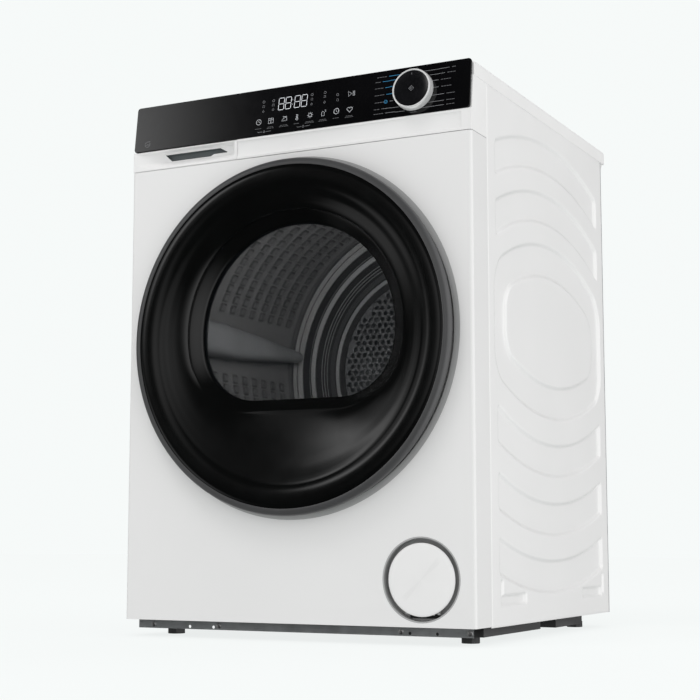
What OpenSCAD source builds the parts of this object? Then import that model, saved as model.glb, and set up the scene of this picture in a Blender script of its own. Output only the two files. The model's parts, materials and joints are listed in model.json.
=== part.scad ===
// Front-loading heat-pump clothes dryer, modelled the way it comes apart.
// Millimetres. X runs across the front, +Y to the rear, +Z up. The floor is z = 0.
// Sizes inside the cabinet are measured from the plane of the front panel by cabinet().

/* [Cabinet] */
// Width over the side panels
cab_w = 595; // [592:1:600]
// Depth of the steel cabinet behind the front panel
cab_d = 604; // [600:1:610]
// Height of the worktop's upper face
top_z = 847; // [845:1:850]
// Thickness of the worktop band
top_band = 21.7; // [20:0.1:24]
// Seam between the console and the front panel
console_z = 740.4; // [738:0.2:744]
// Lower edge of the front panel
panel_z = 25.3; // [24:0.1:28]
// Sheet steel thickness
sheet = 1; // [0.8:0.1:1.2]
// How far the worktop reaches behind the cabinet
top_overhang = 22; // [20:1:24]

/* [Door] */
// Height of the door and drum axis
door_z = 455.4; // [450:0.2:460]
// Outer radius of the chrome bezel
bezel_r = 272; // [270:0.5:273]
// How far the door stands in front of the panel
door_proud = 27; // [26:0.5:28]
// Radius of the glass window
window_r = 167; // [160:1:168]
// Height of the window's centre
window_z = 466; // [464:0.5:468]
// Height of the window's flat lower edge
window_floor_z = 361; // [358:1:366]

/* [Drum] */
// Outer radius of the drum
drum_r = 284; // [282:0.5:284]
// Front and rear planes of the drum
drum_front = 76; // [75:1:80]
drum_rear = 505; // [500:1:506]
// Direction of the first lifter, from +X
lifter_angle = 173; // [170:1:176]

/* [Console] */
// Width of the water tank drawer's front
drawer_w = 197; // [190:1:200]
// Height of the glass fascia along its slope
fascia_h = 77; // [76:0.5:78]
// Backward lean of the fascia in degrees
fascia_lean = 6.7; // [6:0.1:7.5]
// Knob centre across the front
knob_x = 205.6; // [200:0.2:210]
// Radius of the knob's bright ring
knob_r = 30.6; // [28:0.2:31]

/* [Base] */
// Centre of the round service cover
cover_x = 213.3; // [210:0.1:216]
cover_z = 92.5; // [90:0.5:95]
// Radius of the service cover
cover_r = 52.5; // [50:0.5:53]
// Spacing of the feet from the centre line
foot_x = 255; // [250:1:258]
// Front and rear feet behind the front panel
foot_front = 81; // [78:1:85]
foot_rear = 541; // [535:1:545]

/* [Hidden] */

fine = 96;
coarse = 48;
half_w = cab_w / 2;
inner_w = half_w - sheet;
front_y = -(cab_d + top_overhang - door_proud) / 2;
flange_d = 58.9;
seam = 0.3;
band_z = top_z - top_band;
side_z0 = 23.5;

// Door section: radius from the axis and distance behind the front panel
bezel_in = 261;
bezel_skin = 2;
bezel_front = -24.5;
tub_r = 266;
collar_r = 199.5;
mouth_r = 206;
ring_in = 268;
ring_out = 277;
hinge_x = -262;
hinge_y = -13;
pin_r = 2.5;
run_gap = 0.05;

// Base machinery
motor_x = 190;
motor_z = 130;
pulley_r = 9;
belt_y = 340;
belt_w = 10;
belt_t = 3;
belt_gap = 0.5;
roller_r = 20;
roller_side = 40;
roller_reach = drum_r + roller_r + 0.35;
roller_x = roller_reach * sin(roller_side);
roller_z = door_z - roller_reach * cos(roller_side);
fan_r = 76;
foot_stud_r = 5;
knob_v = 37;
split_x = -half_w + drawer_w;
fascia_z = 774;
fascia_t = 4;
fascia_y = -1;

white = [0.90, 0.91, 0.90];
steel = [0.62, 0.63, 0.64];
black = [0.05, 0.05, 0.06];
grey = [0.55, 0.56, 0.57];
dark = [0.16, 0.16, 0.17];
copper = [0.72, 0.42, 0.25];

module cabinet() translate([0, front_y, 0]) children();
module box(low, high) translate(low) cube(high - low);
module along_y(r, y0, y1, x = 0, z = 0, n = fine)
    translate([x, y0, z]) rotate([-90, 0, 0]) cylinder(h = y1 - y0, r = r, $fn = n);
module along_z(r, z0, z1, x = 0, y = 0, n = fine)
    translate([x, y, z0]) cylinder(h = z1 - z0, r = r, $fn = n);
module along_x(r, x0, x1, y = 0, z = 0, n = fine)
    translate([x0, y, z]) rotate([0, 90, 0]) cylinder(h = x1 - x0, r = r, $fn = n);
// A ring turned about the Y axis: points are [radius, y]
module turned(points, x = 0, z = 0, n = fine)
    translate([x, 0, z]) rotate([-90, 0, 0]) rotate_extrude($fn = n) polygon(points);
module tube_y(outer, inner, y0, y1, x = 0, z = 0, n = fine)
    turned([[inner, y0], [outer, y0], [outer, y1], [inner, y1]], x, z, n);
// A section in the Y-Z plane drawn out along X: points are [y, z]
module along_width(points, x0, x1)
    translate([x0, 0, 0]) rotate([90, 0, 90]) linear_extrude(x1 - x0) polygon(points);
// A rectangle with rounded corners
module rounded(w, h, r) {
    translate([r, 0]) square([w - 2 * r, h]);
    translate([0, r]) square([w, h - 2 * r]);
    for (x = [r, w - r], y = [r, h - r]) translate([x, y]) circle(r, $fn = 32);
}
module pan_screw(head_r, shank_r, length) {
    cylinder(h = 2, r = head_r, $fn = 24);
    translate([0, 0, -length]) cylinder(h = length + 0.5, r = shank_r, $fn = 24);
}
// The fascia's own plane: x across, y up the slope, z outwards
module on_fascia(x = 0, v = 0)
    translate([x, fascia_y, fascia_z]) rotate([90 - fascia_lean, 0, 0])
        translate([0, v, 0]) children();

// ---------- base ----------
module foot_places() {
    for (x = [-foot_x, foot_x], y = [foot_front, foot_rear]) translate([x, y, 0]) children();
}
module base_pan() color(dark) cabinet() difference() {
    union() {
        difference() {
            union() {
                box([-286, 26, 24], [286, cab_d - 4, 54]);
                box([98, 60, 10], [284, 294, 24.5]);
                box([200, 370, 8], [282, 500, 24.5]);
            }
            box([-283, 29, 27], [283, cab_d - 7, 60]);
            box([101, 103, 13], [281, 291, 40]);
        }
        box([-8, 29, 26], [-5, cab_d - 7, 50]);
        foot_places() translate([0, 0, 24]) cylinder(h = 28, r = 14, $fn = coarse);
    }
    foot_places() translate([0, 0, -1]) cylinder(h = 25, r = 15, $fn = coarse);
    foot_places() cylinder(h = 80, r = foot_stud_r + run_gap, $fn = coarse);
    along_y(51, 20, 120, cover_x, cover_z);
}
plinth_screw_x = [-257, -137, 172, 280];
plinth_hole_x = 43;
module plinth_holes() {
    for (x = plinth_screw_x) along_y(2.2, 10, 30, x, 18, 24);
    for (x = [-190, 186], i = [0, 1]) along_y(2.5, 10, 30, x + i * plinth_hole_x, 15.5, 24);
}
module front_plinth() color(steel) cabinet() difference() {
    union() {
        box([-285, 20, 11.5], [285, 21.2, 25]);
        box([-285, 20, 24], [285, 26, 25]);
    }
    plinth_holes();
}
module foot(x, y) color(dark) cabinet() translate([x, y, 0]) {
    cylinder(h = 10, r = 13.5, $fn = 12);
    translate([0, 0, 9.5]) cylinder(h = 4, r = 9, $fn = 6);
    translate([0, 0, 13]) cylinder(h = 33, r = foot_stud_r, $fn = coarse);
}
module foot_front_left() foot(-foot_x, foot_front);
module foot_front_right() foot(foot_x, foot_front);
module foot_rear_left() foot(-foot_x, foot_rear);
module foot_rear_right() foot(foot_x, foot_rear);

// ---------- steel cabinet ----------
module front_section(grow) {
    x = half_w - grow;
    r = 5 - grow;
    translate([-x, grow + r]) square([2 * x, flange_d - grow - r + (grow > 0 ? 1 : 0)]);
    translate([-x + r, grow]) square([2 * (x - r), 20]);
    for (s = [-1, 1]) translate([s * (x - r), grow + r]) circle(r, $fn = 32);
}
module front_panel() color(white) cabinet() difference() {
    translate([0, 0, panel_z]) linear_extrude(console_z - panel_z) difference() {
        front_section(0);
        front_section(sheet);
    }
    along_y(ring_out + 0.1, -5, 8, 0, door_z);
    along_y(61.2, -5, 8, cover_x, cover_z);
}
// One pressed band: a strip between two arcs about the same centre line of the side panel
press_y = 331;
press_half = 238.5;
press_depth = 4;
module arc_band(centre_z, r_low, r_high, half, up, grow) {
    s = up ? 1 : -1;
    intersection() {
        translate([press_y, centre_z]) difference() {
            circle(r_high + grow, $fn = 180);
            circle(r_low - grow, $fn = 180);
        }
        translate([press_y - half - grow, up ? centre_z : centre_z - 900])
            square([2 * (half + grow), 900]);
    }
}
module central_frame(half, r_top, r_low, grow) intersection() {
    translate([press_y - half - grow, 200]) square([2 * (half + grow), 600]);
    translate([press_y, 114]) circle(r_top + grow, $fn = 180);
    translate([press_y, 922]) circle(r_low + grow, $fn = 180);
}
module pressed(grow) {
    for (r = [628, 543]) arc_band(114, r, r + 48, press_half, true, grow);
    for (r = [623, 716, 806]) arc_band(922, r, r + 50, press_half, false, grow);
    difference() {
        central_frame(248, 507, 581, grow);
        central_frame(202, 455, 529, -grow);
    }
}
module side_sheet(outward) {
    module plate(depth, h) translate([depth, 0, 0]) rotate([90, 0, 90]) linear_extrude(h) children();
    x = outward * half_w;
    translate([x, 0, 0]) mirror([outward > 0 ? 1 : 0, 0, 0]) {
        plate(0, sheet) difference() {
            translate([flange_d + seam, side_z0])
                square([cab_d - sheet - flange_d - seam, band_z - side_z0]);
            pressed(0);
        }
        plate(press_depth, sheet) pressed(sheet);
        plate(0, press_depth + sheet) difference() {
            pressed(sheet);
            pressed(0);
        }
    }
}
module left_side_panel() color(white) cabinet() side_sheet(-1);
module right_side_panel() color(white) cabinet() side_sheet(1);

module duct_outline(grow) {
    circle(178 + grow, $fn = fine);
    translate([100 - grow, -300 - grow]) square([150 + 2 * grow, 300 + 2 * grow]);
}
module rear_plane(y) translate([0, y, door_z]) rotate([90, 0, 0]) children();
module rear_panel() color(steel) cabinet() difference() {
    translate([-half_w, cab_d - sheet, side_z0]) cube([cab_w, sheet, band_z - side_z0]);
    rear_plane(cab_d + 5) linear_extrude(10) duct_outline(-8);
    along_y(7, cab_d - 5, cab_d + 5, 250, 700, 32);
    along_y(7, cab_d - 5, cab_d + 5, -230, 700, 32);
    for (i = [0:11]) box([-270, cab_d - 5, 80 + 16 * i], [-200, cab_d + 5, 86 + 16 * i]);
}
module rear_duct_cover() color(steel) cabinet() difference() {
    union() {
        rear_plane(cab_d + 18) linear_extrude(18) duct_outline(0);
        rear_plane(cab_d + 1.2) linear_extrude(1.2) duct_outline(10);
    }
    rear_plane(cab_d + 16.5) linear_extrude(18) duct_outline(-1.5);
}
module cabinet_screws() color(steel) cabinet() {
    for (x = plinth_screw_x) translate([x, 20, 18]) rotate([90, 0, 0]) pan_screw(4, 2, 5);
    for (x = [-285, 285], z = [60, 260, 520, 780])
        translate([x, cab_d, z]) rotate([-90, 0, 0]) pan_screw(4, 2, 8);
    for (a = [35:50:335]) translate([183 * cos(a), cab_d + 1.2, door_z + 183 * sin(a)])
        rotate([-90, 0, 0]) pan_screw(3.5, 1.8, 6);
}

// ---------- worktop ----------
module worktop_frame() color(white) cabinet() difference() {
    union() {
        translate([-half_w, 13, band_z]) cube([cab_w, cab_d + top_overhang - 13, top_band - 2]);
        along_width([[cab_d + 0.2, 801], [cab_d + top_overhang, band_z - 1],
            [cab_d + top_overhang, band_z + 1], [cab_d + 0.2, band_z + 1]], -half_w + 4, half_w - 4);
    }
    box([-half_w + 16, 28, band_z - 1], [half_w - 16, cab_d + 8, top_z]);
}
module worktop_panel() color(white) cabinet()
    translate([-half_w, 13, top_z - 2]) linear_extrude(2)
        rounded(cab_w, cab_d + top_overhang - 13, 6);

// ---------- console ----------
// The white strip under the fascia: a shallow cove below a thin lip
cove_depth = 2.5;
strip_z = console_z + 0.9;
strip_top = 773.4;
cove = concat([[0, strip_z]],
    [for (a = [0:15:180]) [cove_depth * sin(a), 757.5 - 12.5 * cos(a)]],
    [[0, strip_top], [16, strip_top], [16, strip_z]]);
// Distance behind the front panel of a plane that lies t behind the fascia's face, at height z
function behind_fascia(z, t) = fascia_y + (z - fascia_z) * tan(fascia_lean) + t / cos(fascia_lean);
module console_housing() color(white) cabinet() difference() {
    union() {
        along_width(cove, split_x + 0.5, half_w - 16);
        box([half_w - 16, 0, strip_z], [half_w, flange_d, strip_top]);
        along_width([[behind_fascia(768, 4.3), 768], [flange_d, 768], [flange_d, band_z - 0.2],
            [behind_fascia(band_z - 0.2, 4.3), band_z - 0.2]], half_w - 12, half_w);
        box([split_x + 0.5, 15, strip_z], [half_w, 58, 744]);
        box([split_x + 0.5, 11, 742], [split_x + 3.5, 58, 822]);
        box([-half_w, 24, strip_z], [split_x + 1, 58, 761]);
        box([-half_w, 24, strip_z], [-half_w + 2.5, flange_d, band_z - 0.2]);
        on_fascia() translate([split_x + 1.5, -1, -9]) cube([half_w - split_x - 3, 51, 3]);
    }
    on_fascia(knob_x, knob_v) translate([0, 0, -30]) cylinder(h = 40, r = 12, $fn = coarse);
    on_fascia() translate([-45, 24, -30]) cube([90, 34, 40]);
}
module fascia_plate(x0, x1) on_fascia() translate([x0, 0, -fascia_t])
    linear_extrude(fascia_t) rounded(x1 - x0, fascia_h, 5);
module fascia_glass() color(black) cabinet() difference() {
    union() {
        fascia_plate(split_x + 0.4, half_w - 2);
        on_fascia() translate([split_x + 0.4, 0, -fascia_t]) cube([20, fascia_h, fascia_t]);
    }
    on_fascia(knob_x, knob_v) translate([0, 0, -20]) cylinder(h = 30, r = 5, $fn = coarse);
}
module display_board() color([0.1, 0.35, 0.2]) cabinet() difference() {
    union() {
        on_fascia() translate([-85, 8, -14]) cube([350, 42, 2]);
        on_fascia() translate([-40, 28, -12.5]) cube([80, 24, 8]);
        on_fascia(knob_x, knob_v) translate([0, 0, -12.5]) cylinder(h = 8, r = 10, $fn = coarse);
        for (x = [-62:23:100]) on_fascia(x, 22) translate([0, 0, -12.5])
            cylinder(h = 3.3, r = 5, $fn = 24);
    }
    on_fascia(knob_x, knob_v) translate([0, 0, -20]) cylinder(h = 30, r = 3.05, $fn = coarse);
}
module knob_body() color(black) cabinet() on_fascia(knob_x, knob_v) {
    translate([0, 0, 0.6]) cylinder(h = 10.4, r = knob_r + 0.8, $fn = fine);
    translate([0, 0, 10.5]) cylinder(h = 2.3, r = knob_r - 2.6, $fn = fine);
    translate([0, 0, -11]) cylinder(h = 12, r = 3, $fn = coarse);
}
module knob_ring() color(steel) cabinet() on_fascia(knob_x, knob_v) translate([0, 0, 11])
    rotate_extrude($fn = fine)
        polygon([[knob_r - 2.6, 0], [knob_r, 0], [knob_r, 1.6], [knob_r - 0.8, 2.4], [knob_r - 2.6, 2.4]]);

// ---------- water tank drawer ----------
tank_x0 = -half_w + 9;
tank_x1 = split_x - 8;
module tank_front() color(white) cabinet() difference() {
    box([-half_w + 0.3, 0, strip_z], [split_x, 20, 773.2]);
    // finger pocket above the lower edge, with a scooped surround
    along_width([[-1, 749], [17, 751], [18, 767], [-1, 767.5]], -246, -122);
    along_width([[-1, 745], [8, 751], [12, 770.5], [-1, 770.5]], -half_w + 12, split_x - 4);
}
module tank_fascia() color(black) cabinet() {
    fascia_plate(-half_w + 2, split_x);
    on_fascia() translate([split_x - 20, 0, -fascia_t]) cube([20, fascia_h, fascia_t]);
}
module water_tank() color([0.8, 0.83, 0.85]) cabinet() difference() {
    union() {
        box([tank_x0, 26, 769], [tank_x1, 480, 821]);
        box([tank_x0 + 6, 20, 769], [tank_x1 - 6, 27, 773.2]);
        on_fascia() translate([tank_x0 + 6, 4, -28]) cube([tank_x1 - tank_x0 - 12, 44, 24]);
    }
    box([tank_x0 + 3, 29, 772], [tank_x1 - 3, 477, 818]);
    along_z(16, 815, 825, -200, 440, coarse);
}
module tank_bay() color(grey) cabinet() difference() {
    box([tank_x0 - 3, 60, 764], [tank_x1 + 4, 500, 823]);
    box([tank_x0 - 1, 50, 767.5], [tank_x1 + 1, 497, 830]);
}

// ---------- door surround and bulkheads ----------
module hook_slot(extra = 0)
    box([231 - extra, -3, door_z - 9 - extra], [247 + extra, 60, door_z + 9 + extra]);
module door_surround() color([0.75, 0.76, 0.77]) cabinet() difference() {
    turned([[ring_in, 0], [ring_out, 0], [ring_out, 10], [mouth_r, 10], [mouth_r + 2, 12],
        [mouth_r + 2, 46], [mouth_r, 46], [mouth_r - 0.5, 10], [mouth_r, 8], [ring_in, 8]], 0, door_z);
    hook_slot();
}
filter_w = 180;
filter_y0 = 47;
filter_y1 = 69;
module front_bulkhead() color(grey) cabinet() difference() {
    union() {
        box([-inner_w + 1, 46.2, 175], [inner_w - 1, 50, 738]);
        tube_y(mouth_r + 3, mouth_r, 49, 71, 0, door_z);
        tube_y(252, mouth_r, 68, 71, 0, door_z);
        box([-filter_w / 2 - 6, 46.2, 70], [filter_w / 2 + 6, 71, 258]);
        for (s = [-1, 1]) along_y(6, 49, 100, s * roller_x, roller_z, coarse);
    }
    along_y(mouth_r, 40, 80, 0, door_z);
    box([-filter_w / 2 - 1, filter_y0 - 1, 73], [filter_w / 2 + 1, filter_y1 + 1, 300]);
    box([-60, 65, 80], [60, 75, 200]);
    box([60, 40, 174], [100, 47, 180]);
    hook_slot(3);
}
module drum_seal() color([0.85, 0.84, 0.80]) cabinet() tube_y(250, 226, 71, 75.6, 0, door_z);
module door_lock() color(black) cabinet() difference() {
    box([226, 10.2, door_z - 20], [262, 40, door_z + 20]);
    box([229, 5, door_z - 11], [249, 36, door_z + 11]);
}
module rear_bulkhead() color(steel) cabinet() difference() {
    union() {
        box([-inner_w + press_depth + 1, 530, 56], [inner_w - press_depth - 1, 532, 737]);
        along_y(26, 520, 552, 0, door_z, coarse);
        for (a = [45:90:315]) translate([0, 531, door_z]) rotate([0, a, 0])
            translate([20, -1, -6]) cube([160, 8, 12]);
    }
    along_y(10 + run_gap, 500, 560, 0, door_z, coarse);
    for (a = [0:90:270]) translate([0, 515, door_z]) rotate([0, a, 0]) rotate([-90, 0, 0])
        rotate_extrude(angle = 68, start = 11, $fn = fine) translate([40, 0]) square([112, 30]);
    along_y(46, 515, 545, motor_x, motor_z, coarse);
}

// ---------- door ----------
// The window: a circle with a flat lower edge, joined by round corners.
// A point of its outline, grown by g, in the direction a from the window's centre
corner_r = 90; // radius of the two lower corners
drop = window_z - window_floor_z;
corner_z = corner_r - drop;
corner_x = sqrt(pow(window_r - corner_r, 2) - pow(corner_z, 2));
function window_reach(a, g) = let (c = cos(a), s = sin(a),
        along = abs(c) * corner_x + s * corner_z, off = pow(corner_x, 2) + pow(corner_z, 2))
    s > corner_z / corner_x * abs(c) ? window_r + g
    : abs(c) * (drop + g) > -s * corner_x ? along + sqrt(pow(along, 2) - off + pow(corner_r + g, 2))
    : (drop + g) / -s;
function window_point(a, g = 0) = window_reach(a, g) * [cos(a), sin(a)];
dish_n = 72;
rim_r = 185;
pane_y = 17;
dish_rings = [[260.8, bezel_front], [250, -door_proud], [236, -26.2], [222, -20.5], [203, -9], [rim_r, -0.5]];
dish_t = 3;
// Each ring of the dish: outer rings are circles, the last ones are the window's outline
function dish_ring(i, back) = i < len(dish_rings)
    ? let (q = dish_rings[i],
            s = max(0, 1 - (q[0] - rim_r) / 40)) [for (k = [0:dish_n - 1])
        let (a = k * 360 / dish_n, c = q[0] * [cos(a), sin(a)], w = window_point(a, rim_r - window_r))
        [c[0] * (1 - s) + w[0] * s, q[1] + back,
            door_z + c[1] * (1 - s) + (w[1] + window_z - door_z) * s]]
    : [for (k = [0:dish_n - 1]) let (w = window_point(k * 360 / dish_n))
        [w[0], pane_y - 4 + back, window_z + w[1]]];
module ring_skin(rings) {
    n = len(rings);
    m = len(rings[0]);
    polyhedron(points = [for (r = rings) for (p = r) p],
        faces = [for (i = [0:n - 1]) for (k = [0:m - 1]) for (side = [0, 1])
            let (a = i * m + k, b = i * m + (k + 1) % m,
                c = ((i + 1) % n) * m + (k + 1) % m, d = ((i + 1) % n) * m + k)
            side == 0 ? [a, b, c] : [a, c, d]]);
}
module window_outline(g) polygon([for (k = [0:dish_n - 1]) window_point(k * 360 / dish_n, g)]);
module door_dish() color(black) cabinet() {
    n = len(dish_rings);
    ring_skin(concat([for (i = [0:n]) dish_ring(i, 0)], [for (i = [n:-1:0]) dish_ring(i, dish_t)]));
}
module door_window() color([0.2, 0.22, 0.24, 0.6]) cabinet()
    translate([0, pane_y + 3.6, window_z]) rotate([90, 0, 0]) linear_extrude(4) window_outline(5);
// The opening in the door's edge round the hinge barrels and their fixed ears
hinge_half = 60;
ear_z = 38.5;
notch_y = -19;
module hinge_notch() {
    for (s = [-1, 1]) translate([0, 0, door_z + s * (hinge_half + ear_z) / 2])
        box([-290, notch_y, (ear_z - hinge_half) / 2], [-226, 2, (hinge_half - ear_z) / 2]);
    box([-290, notch_y, door_z - hinge_half], [-248, 2, door_z + hinge_half]);
}
module door_bezel() color(dark) cabinet() difference() {
    turned([[bezel_in, bezel_front], [266, bezel_front], [269.5, -22.8], [271.6, -19.5], [bezel_r, -16],
        [271, -12], [267.5, -10.7], [267.5, -12.7], [269.2, -14], [270, -16], [269.6, -18.8],
        [268, -21.2], [265.5, -22.5], [bezel_in, -22.5]], 0, door_z, 180);
    hinge_notch();
}
grip_half = 52;
module grip_cut() box([232, -14, door_z - grip_half], [280, -4.2, door_z + grip_half]);
module door_inner_frame() color(dark) cabinet() difference() {
    union() {
        tube_y(tub_r, 262.5, -14, -2, 0, door_z);
        turned([[264, -4.2], [collar_r + 4.5, -4.2], [collar_r, -3.2], [collar_r - 3, 1.4],
            [collar_r - 3, 34], [collar_r, 34], [collar_r, 0.6], [collar_r + 5, -2], [264, -2]],
            0, door_z);
        tube_y(238, 235, -18, -4, 0, door_z);
        translate([0, pane_y + 7, door_z]) rotate([90, 0, 0]) linear_extrude(3) difference() {
            circle(collar_r - 1, $fn = fine);
            translate([0, window_z - door_z]) window_outline(-1);
        }
    }
    hinge_notch();
    grip_cut();
    box([230.9, -8.1, door_z - 12.1], [245.1, 0, door_z + 12.1]);
    box([-250, hinge_y - 2.6, door_z - 38.1], [-229.9, hinge_y + 2.6, door_z + 38.1]);
}
module door_gasket() color(grey) cabinet()
    turned([[207.5, -2], [216, -2], [214, 2], [214.5, 7], [209, 7], [210, 2]], 0, door_z);
module door_latch_hook() color(steel) cabinet() {
    box([236, -6, door_z - 6], [240, 30, door_z + 6]);
    box([232, 24, door_z - 6], [237, 30, door_z + 6]);
    box([231, -8, door_z - 12], [245, -4.6, door_z + 12]);
}
module door_hinge_arm() color(steel) cabinet() difference() {
    union() {
        along_z(5.5, door_z - 38, door_z + 38, hinge_x, hinge_y, coarse);
        box([hinge_x, hinge_y - 2.5, door_z - 38], [-230, hinge_y + 2.5, door_z + 38]);
    }
    along_z(pin_r + run_gap, door_z - 60, door_z + 60, hinge_x, hinge_y, coarse);
}
module hinge_bracket() color(steel) cabinet() difference() {
    union() {
        for (s = [-1, 1]) {
            z0 = door_z + (s > 0 ? 40 : -52);
            along_z(5.5, z0, z0 + 12, hinge_x, hinge_y, coarse);
            box([hinge_x, hinge_y - 3, z0], [hinge_x + 27, hinge_y + 3, z0 + 12]);
            box([hinge_x + 21, hinge_y - 3, z0], [hinge_x + 27, 8, z0 + 12]);
        }
        box([hinge_x + 16, 5.4, door_z - 64], [hinge_x + 42, 8, door_z + 64]);
    }
    along_z(pin_r, door_z - 60, door_z + 60, hinge_x, hinge_y, coarse);
}
module hinge_pin() color(steel) cabinet() {
    along_z(pin_r, door_z - 52, door_z + 53, hinge_x, hinge_y, coarse);
    along_z(4, door_z + 52, door_z + 53.5, hinge_x, hinge_y, coarse);
}

// ---------- drum ----------
module drum_shell() color(steel) cabinet() {
    tube_y(drum_r, drum_r - 1, drum_front + 4, drum_rear, 0, door_z, 180);
    turned([[238, drum_front], [drum_r - 4, drum_front], [drum_r, drum_front + 4],
        [drum_r - 1, drum_front + 5], [drum_r - 5, drum_front + 1.2], [238, drum_front + 1.2]],
        0, door_z, 180);
}
// The rear wall's pressed ridges: radius, and how far each point stands forward
wall_t = 1.2;
wall_ridges = [[0, 0], [158, 0], [164, 4], [172, 4], [178, 0], [212, 0], [216, 3], [222, 3],
    [226, 0], [255, 0], [262, 6], [278, 6], [drum_r - 1.3, 0], [drum_r, 0]];
module drum_rear_wall() color(steel) cabinet() difference() {
    union() {
        turned(concat([for (q = wall_ridges) [q[0], drum_rear - q[1]]],
            [for (i = [len(wall_ridges) - 1:-1:0])
                [wall_ridges[i][0], drum_rear - wall_ridges[i][1] + wall_t]]), 0, door_z, fine);
        along_y(36, drum_rear, drum_rear + 6, 0, door_z, coarse);
    }
    for (i = [0:3]) let (r = 56 + 27 * i, n = 10 + 6 * i) for (k = [0:n - 1])
        along_y(5, drum_rear - 5, drum_rear + 5, r * cos(360 * k / n), door_z + r * sin(360 * k / n), 24);
}
module drum_lifters() color([0.6, 0.62, 0.64]) cabinet()
    for (i = [0:2]) translate([0, 0, door_z]) rotate([0, -(lifter_angle + 120 * i), 0])
        translate([drum_r - 4, 488, 0]) rotate([90, 0, 0]) linear_extrude(370)
            polygon([[0, -27], [-3.4, -27], [-24, -14], [-34, -5], [-34, 5], [-24, 14], [-3.4, 27], [0, 27],
                [1.6, 14], [2.5, 0], [1.6, -14]]);
module drum_shaft() color(steel) cabinet() {
    along_y(10, drum_rear + 6, 560, 0, door_z, coarse);
    along_y(30, drum_rear + 6, drum_rear + 9, 0, door_z, coarse);
}
module support_roller(s) color([0.3, 0.3, 0.32]) cabinet()
    tube_y(roller_r, 6 + run_gap, 84, 98, s * roller_x, roller_z, coarse);
module roller_left() support_roller(-1);
module roller_right() support_roller(1);

// The belt: round the drum, round the motor pulley, and straight between them
function rim(c, r, a) = [c[0] + r * cos(a), c[1] + r * sin(a)];
function loop(c1, r1, c2, r2) = let (dx = c2[0] - c1[0], dz = c2[1] - c1[1],
        dir = atan2(dz, dx), off = acos((r1 - r2) / norm([dx, dz])))
    concat([for (i = [0:72]) rim(c1, r1, dir + off + i * (360 - 2 * off) / 72)],
        [for (i = [0:12]) rim(c2, r2, dir - off + i * 2 * off / 12)]);
module belt_loop(out)
    polygon(loop([0, door_z], drum_r + out, [motor_x, motor_z], pulley_r + out));
module drive_belt() color(black) cabinet() translate([0, belt_y + belt_w, 0]) rotate([90, 0, 0])
    linear_extrude(belt_w) difference() {
        belt_loop(belt_gap + belt_t);
        belt_loop(belt_gap);
    }

// ---------- base machinery ----------
module motor_body() color(steel) cabinet() difference() {
    union() {
        along_y(48, 405, 480, motor_x, motor_z, coarse);
        along_y(30, 396, 490, motor_x, motor_z, coarse);
        for (s = [-1, 1]) box([motor_x + s * 34 - 6, 415, 27], [motor_x + s * 34 + 6, 470, 105]);
    }
    along_y(6.05, 380, 500, motor_x, motor_z, coarse);
}
module motor_rotor() color(steel) cabinet() {
    along_y(6, 330, 592, motor_x, motor_z, coarse);
    along_y(pulley_r, belt_y - 1, belt_y + belt_w + 1, motor_x, motor_z, coarse);
    for (y = [belt_y - 4, belt_y + belt_w + 1]) along_y(14, y, y + 3, motor_x, motor_z, coarse);
}
module fan_wheel() color(dark) cabinet() {
    tube_y(14, 6, 552, 590, motor_x, motor_z, coarse);
    tube_y(fan_r, 13, 587, 590, motor_x, motor_z, coarse);
    tube_y(fan_r, 58, 552, 554, motor_x, motor_z, coarse);
    for (k = [0:15]) translate([motor_x, 0, motor_z]) rotate([0, k * 22.5, 0])
        translate([58, 553, -1]) rotate([0, 25, 0]) cube([15, 36, 2]);
}
module blower_housing() color(dark) cabinet() difference() {
    union() {
        along_y(92, 538, 597, motor_x, motor_z);
        box([motor_x - 60, 538, motor_z], [motor_x + 40, 597, 260]);
    }
    along_y(86, 543, 594, motor_x, motor_z);
    box([motor_x - 55, 543, motor_z], [motor_x + 35, 594, 270]);
    along_y(48, 530, 560, motor_x, motor_z);
}
module compressor() color(black) cabinet() {
    along_z(58, 50, 190, 215, 225, coarse);
    translate([215, 225, 188]) rotate_extrude($fn = coarse)
        polygon([[0, 0], [58, 0], [54, 14], [40, 24], [0, 28]]);
    for (a = [30:120:270]) translate([215 + 55 * cos(a), 225 + 55 * sin(a), 13.2])
        cylinder(h = 37.5, r = 9, $fn = 24);
    along_z(20, 60, 170, 144, 200, coarse);
}
module coil(y0, y1) color(steel) cabinet() {
    for (i = [0:14]) box([-268 + 14 * i, y0, 44], [-266.6 + 14 * i, y1, 156]);
    for (z = [62, 100, 138], y = [y0 + 25, y1 - 25]) along_x(4.5, -274, -64, y, z, 24);
    box([-272, y0, 40], [-66, y1, 44.5]);
}
module evaporator() coil(130, 230);
module condenser() coil(262, 362);
module refrigerant_pipes() color(copper) cabinet() {
    along_x(4, -60, 160, 300, 161, 24);
    translate([-60, 300, 161]) sphere(r = 4, $fn = 24);
    along_z(4, 120, 161, -60, 300, 24);
    translate([160, 300, 161]) sphere(r = 4, $fn = 24);
    along_y(4, 244, 300, 160, 161, 24);
    along_x(4, -60, 100, 116, 158, 24);
    translate([-60, 116, 158]) sphere(r = 4, $fn = 24);
    along_z(4, 100, 158, -60, 116, 24);
    translate([100, 116, 158]) sphere(r = 4, $fn = 24);
    along_y(4, 116, 196, 100, 158, 24);
    translate([100, 196, 158]) sphere(r = 4, $fn = 24);
    along_x(4, 100, 128, 196, 158, 24);
}
module condensate_pump() color(dark) cabinet() {
    along_z(22, 30, 84, 50, 170, coarse);
    along_z(30, 27, 34, 50, 170, coarse);
    along_x(6, 70, 92, 170, 46, 24);
}
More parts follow.
